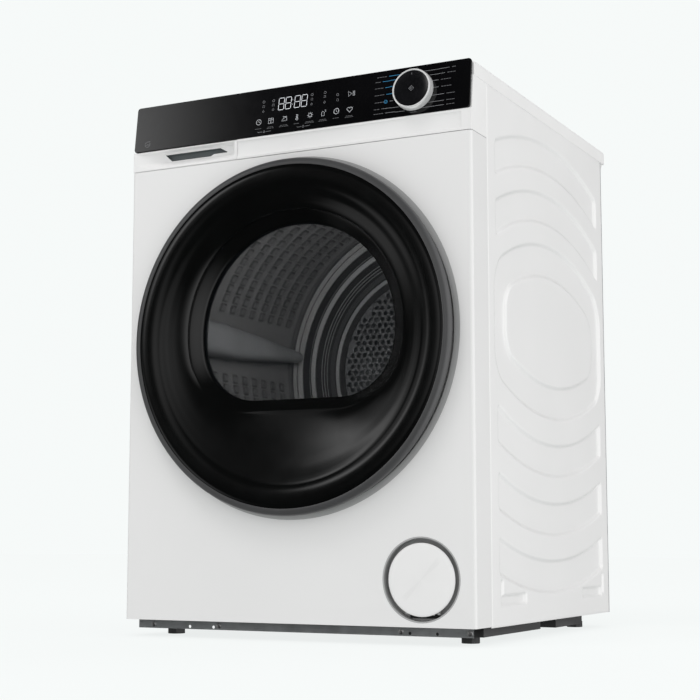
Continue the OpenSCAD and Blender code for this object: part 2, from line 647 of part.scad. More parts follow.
module control_board() color([0.1, 0.35, 0.2]) cabinet() {
    box([-270, 395, 34], [-120, 397, 150]);
    for (i = [0:3]) box([-260 + 34 * i, 397, 50], [-240 + 34 * i, 412, 74]);
    for (i = [0:2]) along_y(9, 397, 419, -240 + 40 * i, 110, 24);
    box([-272, 384, 27], [-118, 404, 34]);
}
module mains_gland() color(black) cabinet() difference() {
    union() {
        along_y(6.8, cab_d - 8, cab_d + 14, 250, 700, coarse);
        along_y(11, cab_d + 0.1, cab_d + 5, 250, 700, coarse);
    }
    along_y(4.2, cab_d - 20, cab_d + 20, 250, 700, coarse);
}
module drain_spigot() color(grey) cabinet() difference() {
    union() {
        along_y(9, cab_d + 3, cab_d + 21, -230, 700, coarse);
        along_y(13, cab_d + 0.1, cab_d + 3.1, -230, 700, coarse);
        along_y(6.8, cab_d - 10, cab_d + 1, -230, 700, coarse);
    }
    along_y(5.5, cab_d - 20, cab_d + 30, -230, 700, coarse);
}

// ---------- service flap and filters ----------
flap_axis_y = 6.5;
flap_axis_z = cover_z - 46;
module filter_bay() color([0.72, 0.73, 0.74]) cabinet() {
    difference() {
        turned([[61, 0], [61, 16], [50, 16], [50, 118], [47, 118], [47, 14], [59, 14], [59, 0]],
            cover_x, cover_z);
        box([cover_x - 24, 8, flap_axis_z - 9], [cover_x + 24, 20, flap_axis_z + 8]);
    }
    for (s = [-1, 1]) box([cover_x + s * 25 - 2, flap_axis_y - 1.5, flap_axis_z - 3],
        [cover_x + s * 25 + 2, 14.2, flap_axis_z + 4]);
    along_x(2, cover_x - 26, cover_x + 26, flap_axis_y, flap_axis_z, coarse);
    along_y(49, 116, 118, cover_x, cover_z, coarse);
}
module filter_cover() color(white) cabinet() difference() {
    union() {
        along_y(cover_r, 0, 2.5, cover_x, cover_z);
        along_x(4, cover_x - 18, cover_x + 18, flap_axis_y, flap_axis_z, coarse);
        box([cover_x - 18, 2, flap_axis_z - 3], [cover_x + 18, flap_axis_y, flap_axis_z + 3]);
    }
    along_x(2 + run_gap, cover_x - 30, cover_x + 30, flap_axis_y, flap_axis_z, coarse);
}
module pump_filter() color([0.2, 0.45, 0.65]) cabinet() {
    along_y(46, 60, 66, cover_x, cover_z, coarse);
    along_y(30, 66, 112, cover_x, cover_z, coarse);
    box([cover_x - 40, 42, cover_z - 5], [cover_x + 40, 60.5, cover_z + 5]);
}
module lint_filter() color([0.3, 0.5, 0.7]) cabinet() difference() {
    union() {
        box([-filter_w / 2, filter_y0, 76], [filter_w / 2, filter_y1, 244]);
        box([-50, filter_y0, 243], [50, filter_y1, 251]);
    }
    for (i = [0:3]) box([-filter_w / 2 + 8 + 42 * i, 40, 86], [-filter_w / 2 + 44 + 42 * i, 80, 226]);
    box([-filter_w / 2 + 3, filter_y0 + 3, 230], [filter_w / 2 - 3, filter_y1 - 3, 240]);
}

base_pan();
front_plinth();
cabinet_screws();
left_side_panel();
right_side_panel();
front_panel();
rear_panel();
rear_duct_cover();
worktop_panel();
worktop_frame();
console_housing();
fascia_glass();
display_board();
door_surround();
front_bulkhead();
drum_seal();
hinge_bracket();
hinge_pin();
door_lock();
rear_bulkhead();
motor_body();
drive_belt();
blower_housing();
compressor();
evaporator();
condenser();
refrigerant_pipes();
condensate_pump();
control_board();
mains_gland();
tank_bay();
drain_spigot();
filter_bay();
door_bezel();
door_dish();
door_window();
door_inner_frame();
door_gasket();
door_latch_hook();
door_hinge_arm();
tank_front();
tank_fascia();
water_tank();
knob_body();
knob_ring();
drum_shell();
drum_rear_wall();
drum_lifters();
drum_shaft();
roller_left();
roller_right();
motor_rotor();
fan_wheel();
filter_cover();
pump_filter();
lint_filter();
foot_front_left();
foot_front_right();
foot_rear_left();
foot_rear_right();
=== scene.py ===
import json
import math

import bmesh
import bpy
import numpy as np
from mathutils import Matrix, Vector

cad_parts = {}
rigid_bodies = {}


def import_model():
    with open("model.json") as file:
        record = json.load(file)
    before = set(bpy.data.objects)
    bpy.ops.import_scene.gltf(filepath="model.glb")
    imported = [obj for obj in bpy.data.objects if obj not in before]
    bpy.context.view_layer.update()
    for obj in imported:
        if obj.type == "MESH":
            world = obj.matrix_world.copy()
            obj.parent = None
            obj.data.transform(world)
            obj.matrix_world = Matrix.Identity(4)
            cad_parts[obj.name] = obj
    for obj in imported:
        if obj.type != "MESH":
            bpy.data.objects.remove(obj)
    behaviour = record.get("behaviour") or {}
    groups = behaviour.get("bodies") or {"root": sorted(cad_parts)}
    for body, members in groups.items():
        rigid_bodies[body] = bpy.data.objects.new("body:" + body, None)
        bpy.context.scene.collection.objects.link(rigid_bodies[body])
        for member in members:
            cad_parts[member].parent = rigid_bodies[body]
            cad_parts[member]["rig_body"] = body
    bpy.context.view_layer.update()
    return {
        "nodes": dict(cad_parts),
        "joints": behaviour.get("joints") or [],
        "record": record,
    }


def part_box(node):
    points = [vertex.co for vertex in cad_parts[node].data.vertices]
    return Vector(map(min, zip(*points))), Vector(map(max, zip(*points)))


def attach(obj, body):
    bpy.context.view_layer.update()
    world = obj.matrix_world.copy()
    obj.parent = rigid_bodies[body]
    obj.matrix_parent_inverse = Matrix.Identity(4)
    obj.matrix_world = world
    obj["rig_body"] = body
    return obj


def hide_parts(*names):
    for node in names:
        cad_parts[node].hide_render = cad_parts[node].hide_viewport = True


# The clothes dryer's looks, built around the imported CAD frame.
# Sizes are millimetres unless a name says otherwise; place() and fascia() turn them into
# metres in the shared frame. Depths are measured rearwards from the front panel's face.

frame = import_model()
NODES = frame["nodes"]
JOINTS = {j["name"]: j for j in frame["joints"]}
MM = 0.001


def node_box(name):
    """A CAD node's corners in millimetres."""
    low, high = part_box(name)
    return low / MM, high / MM


# ---------- places taken from the frame ----------
FRONT = node_box("front_panel")[0].y
HALF_W = node_box("right_side_panel")[1].x
AXIS_Z = JOINTS["drum_spin"]["pos_m"][2] / MM
DRUM_REAR = node_box("drum_shell")[1].y - FRONT
DRUM_FRONT = node_box("drum_shell")[0].y - FRONT
DRUM_R = node_box("drum_shell")[1].x
KNOB = Vector(JOINTS["knob_turn"]["pos_m"])
FASCIA_OUT = Vector(JOINTS["knob_turn"]["axis"]).normalized()
FASCIA_UP = Vector((0, FASCIA_OUT.z, -FASCIA_OUT.y))
PANE_GROW = 5.0  # the CAD pane reaches this far past the window's outline
WINDOW_R = node_box("door_window")[1].x - PANE_GROW
WINDOW_Z = node_box("door_window")[1].z - WINDOW_R - PANE_GROW
WINDOW_DROP = WINDOW_Z - node_box("door_window")[0].z - PANE_GROW
PANE_D = node_box("door_window")[0].y - FRONT
WINDOW_CORNER = 90.0
COVER_LOW, COVER_HIGH = node_box("filter_cover")
COVER_X = (COVER_HIGH.x + COVER_LOW.x) / 2
COVER_Z = COVER_HIGH.z - (COVER_HIGH.x - COVER_LOW.x) / 2


def place(x, depth, z):
    """A point from its distance across, behind the front panel and above the floor."""
    return Vector((x * MM, (FRONT + depth) * MM, z * MM))


def fascia(x, z, lift=0.0):
    """A point on the glass fascia, lifted off its face."""
    up = (z * MM - KNOB.z) / FASCIA_UP.z
    p = KNOB + FASCIA_UP * up + FASCIA_OUT * (lift * MM)
    p.x = x * MM
    return p


def smooth(value, low, high):
    """0 below low, 1 above high, smooth between; works on arrays."""
    t = np.clip((np.asarray(value, float) - low) / (high - low), 0, 1)
    return t * t * (3 - 2 * t)


def turns(count):
    """Angles that divide a full turn evenly."""
    return [2 * math.pi * k / count for k in range(count)]


# ---------- materials ----------
def link(tree, a, b):
    tree.links.new(a, b)


def surface(name, color, spread=0.05, scale=9.0, rough=0.35, rough_spread=0.08,
            grain=500.0, bump=0.08, stretch=(1, 1, 1), worn=0.0, **sockets):
    """A procedural material: cloudy colour, uneven gloss, fine grain, and worn edges, which
    are lighter where worn is above 0 and darker where it is below."""
    mat = bpy.data.materials.new(name)
    mat.use_nodes = True
    tree = mat.node_tree
    shader = tree.nodes["Principled BSDF"]
    coords = tree.nodes.new("ShaderNodeTexCoord")
    mapping = tree.nodes.new("ShaderNodeMapping")
    mapping.inputs["Scale"].default_value = stretch
    link(tree, coords.outputs["Object"], mapping.inputs["Vector"])

    def noise(size, detail):
        texture = tree.nodes.new("ShaderNodeTexNoise")
        texture.inputs["Scale"].default_value = size
        texture.inputs["Detail"].default_value = detail
        link(tree, mapping.outputs["Vector"], texture.inputs["Vector"])
        return texture.outputs["Fac"]

    cloud = tree.nodes.new("ShaderNodeValToRGB")
    for stop, at, factor in ((0, 0.3, 1 - spread), (1, 0.7, 1 + spread)):
        cloud.color_ramp.elements[stop].position = at
        cloud.color_ramp.elements[stop].color = (*[min(c * factor, 1) for c in color], 1)
    link(tree, noise(scale, 4), cloud.inputs["Fac"])
    base = cloud.outputs["Color"]
    if worn:
        geometry = tree.nodes.new("ShaderNodeNewGeometry")
        edge = tree.nodes.new("ShaderNodeMapRange")
        edge.inputs["From Min"].default_value = 0.53
        edge.inputs["From Max"].default_value = 0.62
        edge.inputs["To Max"].default_value = abs(worn)
        link(tree, geometry.outputs["Pointiness"], edge.inputs["Value"])
        mix = tree.nodes.new("ShaderNodeMix")
        mix.data_type = "RGBA"
        shade = 0.75 if worn > 0 else 0.25
        mix.inputs["B"].default_value = (*[c + (shade - c) * 0.5 for c in color], 1)
        link(tree, edge.outputs["Result"], mix.inputs["Factor"])
        link(tree, base, mix.inputs["A"])
        base = mix.outputs["Result"]
    link(tree, base, shader.inputs["Base Color"])
    gloss = tree.nodes.new("ShaderNodeMapRange")
    gloss.inputs["To Min"].default_value = max(rough - rough_spread, 0.02)
    gloss.inputs["To Max"].default_value = rough + rough_spread
    link(tree, noise(scale * 4, 5), gloss.inputs["Value"])
    link(tree, gloss.outputs["Result"], shader.inputs["Roughness"])
    relief = tree.nodes.new("ShaderNodeBump")
    relief.inputs["Strength"].default_value = bump
    relief.inputs["Distance"].default_value = 0.0004
    link(tree, noise(grain, 3), relief.inputs["Height"])
    link(tree, relief.outputs["Normal"], shader.inputs["Normal"])
    for key, value in sockets.items():
        shader.inputs[key.replace("_", " ")].default_value = value
    return mat


WHITE = (0.845, 0.838, 0.836)
MATERIALS = {
    "white_paint": surface("baked_enamel", WHITE, 0.012, 3, 0.33, 0.05, 900, 0.03,
                           worn=-0.15, Coat_Weight=0.25, Coat_Roughness=0.12),
    "white_plastic": surface("white_abs", WHITE, 0.015, 5, 0.36, 0.06, 1400, 0.04,
                             worn=-0.12),
    "worktop_white": surface("worktop_laminate", WHITE, 0.02, 6, 0.42, 0.08, 700, 0.12),
    "black_fascia": surface("fascia_gloss", (0.0025, 0.0025, 0.003), 0.2, 14, 0.10, 0.03,
                            300, 0.01),
    "black_dish": surface("dish_gloss", (0.0022, 0.0024, 0.0024), 0.2, 11, 0.17, 0.04,
                          240, 0.012, Specular_IOR_Level=0.4),
    "window_glass": surface("tinted_glass", (0.006, 0.007, 0.008), 0.2, 12, 0.05, 0.03,
                            60, 0.01, Alpha=0.5),
    "dark_chrome": surface("dark_chrome", (0.085, 0.085, 0.087), 0.06, 20, 0.34, 0.06,
                           700, 0.03, worn=0.1, Metallic=0.35),
    "dark_plastic": surface("dark_moulding", (0.018, 0.018, 0.019), 0.25, 30, 0.5, 0.1,
                            1200, 0.25, worn=0.1),
    "light_grey_plastic": surface("light_grey_moulding", (0.40, 0.40, 0.40), 0.04, 12,
                                  0.38, 0.07, 1100, 0.1, worn=0.1),
    "grey_plastic": surface("grey_moulding", (0.20, 0.205, 0.21), 0.08, 18, 0.42, 0.08,
                            900, 0.15, worn=0.12),
    "galvanised_steel": surface("galvanised_sheet", (0.48, 0.50, 0.51), 0.16, 45, 0.38,
                                0.12, 160, 0.08, worn=0.2, Metallic=0.9),
    "bright_steel": surface("zinc_plated", (0.6, 0.6, 0.6), 0.1, 60, 0.3, 0.1, 800, 0.1,
                            worn=0.25, Metallic=1.0),
    "drum_steel": surface("brushed_stainless", (0.42, 0.425, 0.43), 0.10, 8, 0.34, 0.08,
                          260, 0.1, stretch=(1, 6, 1), Metallic=0.85),
    "rubber": surface("black_rubber", (0.02, 0.02, 0.02), 0.25, 40, 0.72, 0.1, 900, 0.3),
    "felt": surface("pressed_felt", (0.55, 0.53, 0.48), 0.25, 160, 0.92, 0.05, 2600, 0.9,
                    Sheen_Weight=0.4),
    "compressor_black": surface("compressor_paint", (0.02, 0.02, 0.022), 0.3, 25, 0.35,
                                0.1, 500, 0.15, worn=0.3),
    "fin_aluminium": surface("rolled_fins", (0.62, 0.63, 0.64), 0.1, 50, 0.36, 0.1, 700,
                             0.15, Metallic=1.0),
    "copper_tube": surface("drawn_copper", (0.66, 0.32, 0.17), 0.2, 35, 0.32, 0.12, 500,
                           0.08, Metallic=1.0),
    "board_green": surface("solder_resist", (0.02, 0.13, 0.06), 0.2, 80, 0.35, 0.1, 900,
                           0.2),
    "tank_plastic": surface("tank_polymer", (0.62, 0.66, 0.68), 0.05, 15, 0.32, 0.08, 500,
                            0.1, worn=0.1),
    "knob_black": surface("knob_gloss", (0.005, 0.005, 0.006), 0.2, 60, 0.16, 0.05, 900,
                          0.02),
    "knob_silver": surface("knob_plating", (0.88, 0.88, 0.88), 0.05, 90, 0.3, 0.06, 1500,
                           0.05, worn=0.2, Metallic=0.35),
    "filter_blue": surface("filter_moulding", (0.06, 0.15, 0.28), 0.12, 30, 0.42, 0.1,
                           900, 0.15, worn=0.15),
}


def steel_with_painted_shade(name, radial, at, shade_colors):
    """Drum steel with painted shade and highlights on its raised shapes, coloured by its distance
    from the axis if radial, and by its place along Y if not: the colours run evenly from at[0] to
    at[1]."""
    mat = surface(name, shade_colors[0], 0.1, 8, 0.4, 0.08, 260, 0.08, stretch=(1, 6, 1),
                  Metallic=0.25)
    tree = mat.node_tree
    coords = tree.nodes.new("ShaderNodeTexCoord")
    if radial:
        flat = tree.nodes.new("ShaderNodeVectorMath")
        flat.operation = "MULTIPLY_ADD"
        flat.inputs[1].default_value = (1, 0, 1)
        flat.inputs[2].default_value = (0, 0, -AXIS_Z * MM)
        link(tree, coords.outputs["Object"], flat.inputs[0])
        length = tree.nodes.new("ShaderNodeVectorMath")
        length.operation = "LENGTH"
        link(tree, flat.outputs["Vector"], length.inputs[0])
        value = length.outputs["Value"]
    else:
        split = tree.nodes.new("ShaderNodeSeparateXYZ")
        link(tree, coords.outputs["Object"], split.inputs["Vector"])
        value = split.outputs["Y"]
    span = tree.nodes.new("ShaderNodeMapRange")
    span.inputs["From Min"].default_value = at[0] * MM
    span.inputs["From Max"].default_value = at[1] * MM
    link(tree, value, span.inputs["Value"])
    # the painted shade and highlights: one colour for each step of height
    shade_tones = tree.nodes.new("ShaderNodeValToRGB")
    while len(shade_tones.color_ramp.elements) < len(shade_colors):
        shade_tones.color_ramp.elements.new(0.5)
    for k, tone in enumerate(shade_colors):
        shade_tones.color_ramp.elements[k].position = k / (len(shade_colors) - 1)
        shade_tones.color_ramp.elements[k].color = (*tone, 1)
    link(tree, span.outputs["Result"], shade_tones.inputs["Fac"])
    shader = tree.nodes["Principled BSDF"]
    clouds = shader.inputs["Base Color"].links[0].from_socket
    mix = tree.nodes.new("ShaderNodeMix")
    mix.data_type = "RGBA"
    mix.inputs["Factor"].default_value = 0.85
    link(tree, clouds, mix.inputs["A"])
    link(tree, shade_tones.outputs["Color"], mix.inputs["B"])
    link(tree, mix.outputs["Result"], shader.inputs["Base Color"])
    return mat


def grey(*levels):
    """Neutral colours, one for each level."""
    return [(v, v, v) for v in levels]


# Painted shade on the drum wall: dark on the bosses' sides, lighter on the wall and the boss tops.
WALL_PAINTED_SHADE = steel_with_painted_shade("drum_wall_painted_shade", True, (DRUM_R - 1.2, DRUM_R - 5.2),
                          grey(0.20, 0.03, 0.03, 0.14))
# Painted highlight on the tops of the rear rings and painted shade on the flats between them.
RING_PAINTED_HIGHLIGHT = steel_with_painted_shade("drum_ring_painted_highlight", False,
                          (FRONT + DRUM_REAR + 0.2, FRONT + DRUM_REAR - 4.5),
                          grey(0.035, 0.05, 0.26, 0.5))
# Painted shade for the deep part of the drawer's finger pocket.
POCKET_PAINTED_SHADE = surface("pocket_painted_shade", (0.115, 0.13, 0.135), 0.08, 25, 0.5, 0.1, 900, 0.1)


def ink(name, color, glow, strength, spread=0.08):
    """Matt print that is lit a little from behind."""
    return surface(name, color, spread, 90, 0.5, 0.1, 900, 0.05,
                   Emission_Color=(*glow, 1), Emission_Strength=strength)


DIM_GLOW = (0.8, 0.82, 0.86)
PRINT_DIM = ink("print_dim", (0.10, 0.10, 0.105), DIM_GLOW, 0.05)
PRINT_WHITE = ink("print_white", (0.55, 0.56, 0.57), (0.9, 0.93, 1.0), 0.55, 0.04)
PRINT_GREY = ink("print_grey", (0.20, 0.20, 0.21), DIM_GLOW, 0.13)
PRINT_BLUE = ink("print_blue", (0.02, 0.13, 0.25), (0.05, 0.42, 0.8), 0.4)

SLOTS = {s["node"]: s["material_slot"] for s in frame["record"]["subparts"]}
for node_name, node_object in NODES.items():
    node_object.data.materials.clear()
    node_object.data.materials.append(MATERIALS[SLOTS[node_name]])


# ---------- mesh tools ----------
def placed(name, data, slot, body):
    """A new object in the scene that rides on a body; slot is not used."""
    made = bpy.data.objects.new(name, data)
    bpy.context.scene.collection.objects.link(made)
    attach(made, body)
    return made


def shaded(shape, mesh, sharp, material):
    """Writes the shape to the mesh, smooth except where faces meet at more than sharp degrees."""
    shape.to_mesh(mesh)
    shape.free()
    mesh.shade_smooth()
    mesh.set_sharp_from_angle(angle=math.radians(sharp))
    mesh.materials.append(material)


def piece(name, verts, faces, slot, body, replaced=(), sharp=35.0, material=None):
    """A mesh object from points in metres, with outward normals and smooth shading."""
    mesh = bpy.data.meshes.new(name)
    mesh.from_pydata([tuple(v) for v in verts], [], faces)
    shape = bmesh.new()
    shape.from_mesh(mesh)
    bmesh.ops.recalc_face_normals(shape, faces=shape.faces)
    shaded(shape, mesh, sharp, material or MATERIALS[slot])
    made = placed(name, mesh, slot, body)
    if replaced:
        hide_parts(*replaced)
    return made


def skin(rows, close_rows=False):
    """Vertices and quads over rows of points, where each row is a closed ring."""
    n, m = len(rows), len(rows[0])
    verts = [p for row in rows for p in row]
    faces = [(i * m + k, i * m + (k + 1) % m, (i + 1) % n * m + (k + 1) % m, (i + 1) % n * m + k)
             for i in range(n if close_rows else n - 1) for k in range(m)]
    return verts, faces


def grid(n, m):
    """The quads of an n by m grid of points, and the points round its edge in order."""
    index = np.arange(n * m).reshape(n, m)
    quads = np.stack([index[:-1, :-1], index[1:, :-1], index[1:, 1:], index[:-1, 1:]], -1)
    rim = np.concatenate([index[:, 0], index[-1, 1:], index[-2::-1, -1], index[0, -2:0:-1]])
    return quads.reshape(-1, 4).tolist(), rim.tolist()


def joined(parts):
    """Several (verts, faces) as one."""
    verts, faces = [], []
    for v, f in parts:
        faces += [tuple(i + len(verts) for i in face) for face in f]
        verts += list(v)
    return verts, faces


def lathe(profile, segments=192, x=0.0, z=None):
    """A closed ring of revolution about an axis along Y; the profile is (radius, depth)."""
    z = AXIS_Z if z is None else z
    rows = [[place(x + r * math.cos(a), d, z + r * math.sin(a)) for a in turns(segments)]
            for r, d in profile]
    return skin(rows, close_rows=True)


def spline(points, steps):
    """Points of a smooth curve through the given ones (Catmull-Rom)."""
    pts = [np.array(p, float) for p in points]
    pts = [2 * pts[0] - pts[1]] + pts + [2 * pts[-1] - pts[-2]]
    out = []
    for i in range(1, len(pts) - 2):
        a, b, c, d = pts[i - 1:i + 3]
        for s in range(steps):
            t = s / steps
            out.append(0.5 * (2 * b + (c - a) * t + (2 * a - 5 * b + 4 * c - d) * t * t
                              + (3 * b - a - 3 * c + d) * t ** 3))
    return out + [pts[-2]]


def block(x0, d0, z0, x1, d1, z1):
    """A box given by two corners."""
    xs, ds, zs = (x0, x1), (d0, d1), (z0, z1)
    verts = [place(xs[i], ds[j], zs[k]) for i in (0, 1) for j in (0, 1) for k in (0, 1)]
    return verts, [(0, 1, 3, 2), (4, 6, 7, 5), (0, 4, 5, 1), (2, 3, 7, 6), (0, 2, 6, 4),
                   (1, 5, 7, 3)]


def rod_x(r, x0, x1, d, z, segments=24, chamfer=0.4):
    """A round bar along X with chamfered ends."""
    outline = ((x0, 0.01), (x0, r - chamfer), (x0 + chamfer, r), (x1 - chamfer, r),
               (x1, r - chamfer), (x1, 0.01))
    rows = [[place(x, d + q * math.cos(a), z + q * math.sin(a)) for a in turns(segments)]
            for x, q in outline]
    return skin(rows)


def refined(node, width):
    """A CAD node's own shape with its edges rounded, as a piece that stands for it."""
    source = NODES[node]
    shape = bmesh.new()
    shape.from_mesh(source.data)
    bmesh.ops.remove_doubles(shape, verts=shape.verts, dist=0.002 * MM)
    bmesh.ops.dissolve_limit(shape, angle_limit=math.radians(0.5), verts=shape.verts,
                             edges=shape.edges)
    edges = [e for e in shape.edges
             if len(e.link_faces) == 2 and e.calc_face_angle(0) > math.radians(30)]
    bmesh.ops.bevel(shape, geom=edges, offset=width * MM, segments=2, profile=0.5,
                    affect="EDGES", clamp_overlap=True)
    mesh = bpy.data.meshes.new(node + "_finished")
    shaded(shape, mesh, 35.0, MATERIALS[SLOTS[node]])
    made = placed(node + "_finished", mesh, SLOTS[node], source["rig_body"])
    evened = made.modifiers.new("even_faces", "WEIGHTED_NORMAL")
    evened.weight = 100
    evened.keep_sharp = True
    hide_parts(node)
    return made


def strokes(name, lines, width, material, slot, body="cabinet", lift=0.05):
    """Printed lines on the fascia: each is a list of (x, z), and closed if it ends as it began."""
    data = bpy.data.curves.new(name, "CURVE")
    data.dimensions = "3D"
    data.bevel_depth = width / 2 * MM
    data.bevel_resolution = 1
    data.use_fill_caps = True
    for line in lines:
        closed = len(line) > 3 and line[0] == line[-1]
        points = line[:-1] if closed else line
        path = data.splines.new("POLY")
        path.points.add(len(points) - 1)
        path.use_cyclic_u = closed
        for target, (x, z) in zip(path.points, points):
            target.co = (*fascia(x, z, lift - width * 0.35), 1)
    data.materials.append(material)
    return placed(name, data, slot, body)


# ---------- door ----------
def window_point(angle, grow):
    """The window's outline about its own centre: a circle with a flat floor and round corners."""
    c, s = math.cos(angle), math.sin(angle)
    corner_z = WINDOW_CORNER - WINDOW_DROP
    corner_x = math.sqrt((WINDOW_R - WINDOW_CORNER) ** 2 - corner_z ** 2)
    if s > corner_z / corner_x * abs(c):
        reach = WINDOW_R + grow
    elif abs(c) * (WINDOW_DROP + grow) > -s * corner_x:
        along = abs(c) * corner_x + s * corner_z
        off = corner_x ** 2 + corner_z ** 2
        reach = along + math.sqrt(along ** 2 - off + (WINDOW_CORNER + grow) ** 2)
    else:
        reach = (WINDOW_DROP + grow) / -s
    return reach * c, reach * s


DISH_RIM = 185.0  # from here inwards the dish follows the window's outline
DISH_BLEND = 40.0  # width of the band where it turns from round to that outline
DISH_WALL = 2.4
DISH_FACE = -26.98  # the foremost depth that the dish may reach
DISH_RIDGE = (219, 0.45, 1.7)  # a fine raised line: its radius, height and width
DISH_PROFILE = [(260.7, -24.3), (256.5, -26.3), (250, -27), (243, -26.85), (236, -26),
                (229, -23.8), (222, -20.4), (213, -15.2), (203, -9.2), (194, -4.4),
                (188.5, -1.6), (186.2, -0.7), (184.4, -0.1), (182.6, 1.2), (179, 4.2),
                (173, 9.4), (169.5, 12.4), (168.2, 14.0)]


def dish_row(radius, depth, segments):
    """One ring of the dish: a circle outside, and the window's outline inside."""
    share = float(min(1, max(0, 1 - (radius - DISH_RIM) / DISH_BLEND)))
    row = []
    for a in turns(segments):
        wx, wz = window_point(a, min(radius, DISH_RIM) - WINDOW_R)
        x = radius * math.cos(a) * (1 - share) + wx * share
        z = radius * math.sin(a) * (1 - share) + (wz + WINDOW_Z - AXIS_Z) * share
        row.append(place(x, depth, AXIS_Z + z))
    return row


def door_dish():
    """The door's glossy black bowl, a moulding of even thickness."""
    middle, high, wide = DISH_RIDGE
    line = [(r, d - high * math.exp(-((r - middle) / wide) ** 2))
            for r, d in spline(DISH_PROFILE, 4)]
    front = [(r, max(d, DISH_FACE)) for r, d in line]
    back = [(r, d + DISH_WALL) for r, d in front[::-1]]
    rows = [dish_row(r, d, 240) for r, d in front + back]
    return piece("door_dish_moulding", *skin(rows, close_rows=True), "black_dish", "door",
                 ["door_dish"])


def door_window():
    """The pane: gently domed towards the drum, with a ground edge."""
    segments, dome, thick, overlap = 160, 5.0, 3.2, 3.0
    shares = [0.02] + [i / 18 for i in range(1, 18)] + [0.985, 1.0]

    def row(share, depth):
        return [place(share * x, depth, WINDOW_Z + share * z) for x, z in
                (window_point(a, overlap) for a in turns(segments))]

    face = [row(s, PANE_D + dome * (1 - s * s) + (0.5 if s == 1 else 0)) for s in shares]
    back = [row(s, PANE_D + thick + dome * (1 - s * s)) for s in shares[::-1]]
    verts, faces = skin(face + back)
    last = len(verts) - segments
    faces += [tuple(range(segments)), tuple(last + k for k in range(segments))[::-1]]
    return piece("door_glass", verts, faces, "window_glass", "door", ["door_window"])


def window_bead():
    """The thin black bead where the glass meets the dish."""
    radius, depth, outwards = 0.7, 14.2, 0.4
    rows = []
    for t in turns(8):
        rows.append([place(x, depth + radius * math.sin(t), WINDOW_Z + z) for x, z in
                     (window_point(a, outwards + radius * math.cos(t)) for a in turns(200))])
    return piece("door_glass_bead", *skin(rows, close_rows=True), "black_dish", "door")


HINGE_NOTCH = 60.5  # half height of the notch beside the hinge
NOTCH_D = -19.3  # the bezel's rear edge there
BEZEL_SHADE_D = -17  # behind this depth the bezel is painted black as shade in the gap round the door


def door_bezel():
    """The ring round the door: dark chrome in front and painted black behind as shade in the gap
    round it, notched at the hinge.
    """
    profile = [(261, -24.6), (263, -24.9), (265.6, -24.6), (268.4, -23.4), (270.6, -21.2),
               (271.7, -18.6), (271.9, -16), (271.5, -13.6), (270.2, -11.6), (268, -10.9),
               (267.4, -11.8), (268.6, -12.8), (269.7, -14.2), (270, -16.4), (269.2, -19.2),
               (267.4, -21.4), (265, -22.6), (261, -22.6)]
    rows = []
    for r, d in profile:
        row = []
        for a in turns(240):
            beside = math.cos(a) < 0 and abs(r * math.sin(a)) < HINGE_NOTCH
            row.append(place(r * math.cos(a), min(d, NOTCH_D) if beside else d,
                             AXIS_Z + r * math.sin(a)))
        rows.append(row)
    made = piece("door_bezel_ring", *skin(rows, close_rows=True), "dark_chrome", "door",
                 ["door_bezel"])
    # Painted shade: the rear faces take the black moulding so the gap round the door is dark.
    made.data.materials.append(MATERIALS["dark_plastic"])
    for face in made.data.polygons:
        if face.center.y > (FRONT + BEZEL_SHADE_D) * MM:
            face.material_index = 1
    return made


# ---------- cabinet ----------
def rounded_meet(a, b, r):
    """Signed distance to where two shapes overlap, with rounded corners."""
    qa, qb = a + r, b + r
    return (np.minimum(np.maximum(qa, qb), 0)
            + np.hypot(np.maximum(qa, 0), np.maximum(qb, 0)) - r)


# The side sheets are pressed in: bands that arch over a low centre or sag under a high one,
# an oval ring between them, and two short feet.
PRESS_MID = 331.0
PRESS_HALF = 238.5
PRESS_DEEP = 3.6
LOW_CENTRE, HIGH_CENTRE = 114, 922
ARCHED_BANDS = ((628, 48), (543, 48))  # inner radius and width of each band
SAGGING_BANDS = ((623, 50), (716, 50), (806, 50))
OVAL_OUTER = (248, 507, 581, 34)  # half width, radii about both centres, corner radius
OVAL_INNER = (202, 455, 529, 26)
FEET = ((148.5, -48), (512.0, 56))  # middle of each foot, and its upright's place from there


def pressing(d, z):
    """How deep the side sheet is pressed in at depth d and height z."""
    across = np.abs(d - PRESS_MID)
    above = np.hypot(d - PRESS_MID, z - LOW_CENTRE)
    below = np.hypot(d - PRESS_MID, z - HIGH_CENTRE)

    def bands(ring, sizes):
        return [rounded_meet(np.abs(ring - low - wide / 2) - wide / 2, across - PRESS_HALF, 5)
                for low, wide in sizes]

    def oval(half, over, under, corner):
        return rounded_meet(across - half, rounded_meet(above - over, below - under, 4), corner)

    shapes = bands(above, ARCHED_BANDS) + bands(below, SAGGING_BANDS)
    shapes.append(np.maximum(oval(*OVAL_OUTER), -oval(*OVAL_INNER)))
    for mid, upright in FEET:
        foot = rounded_meet(np.abs(d - mid) - 52, np.abs(z - 61.5) - 8.5, 5)
        post = rounded_meet(np.abs(d - mid - upright) - 5, np.abs(z - 74) - 17, 4)
        shapes.append(np.minimum(foot, post) + 1)
    return np.maximum.reduce([PRESS_DEEP * smooth(-shape, -1.4, 2.8) for shape in shapes])


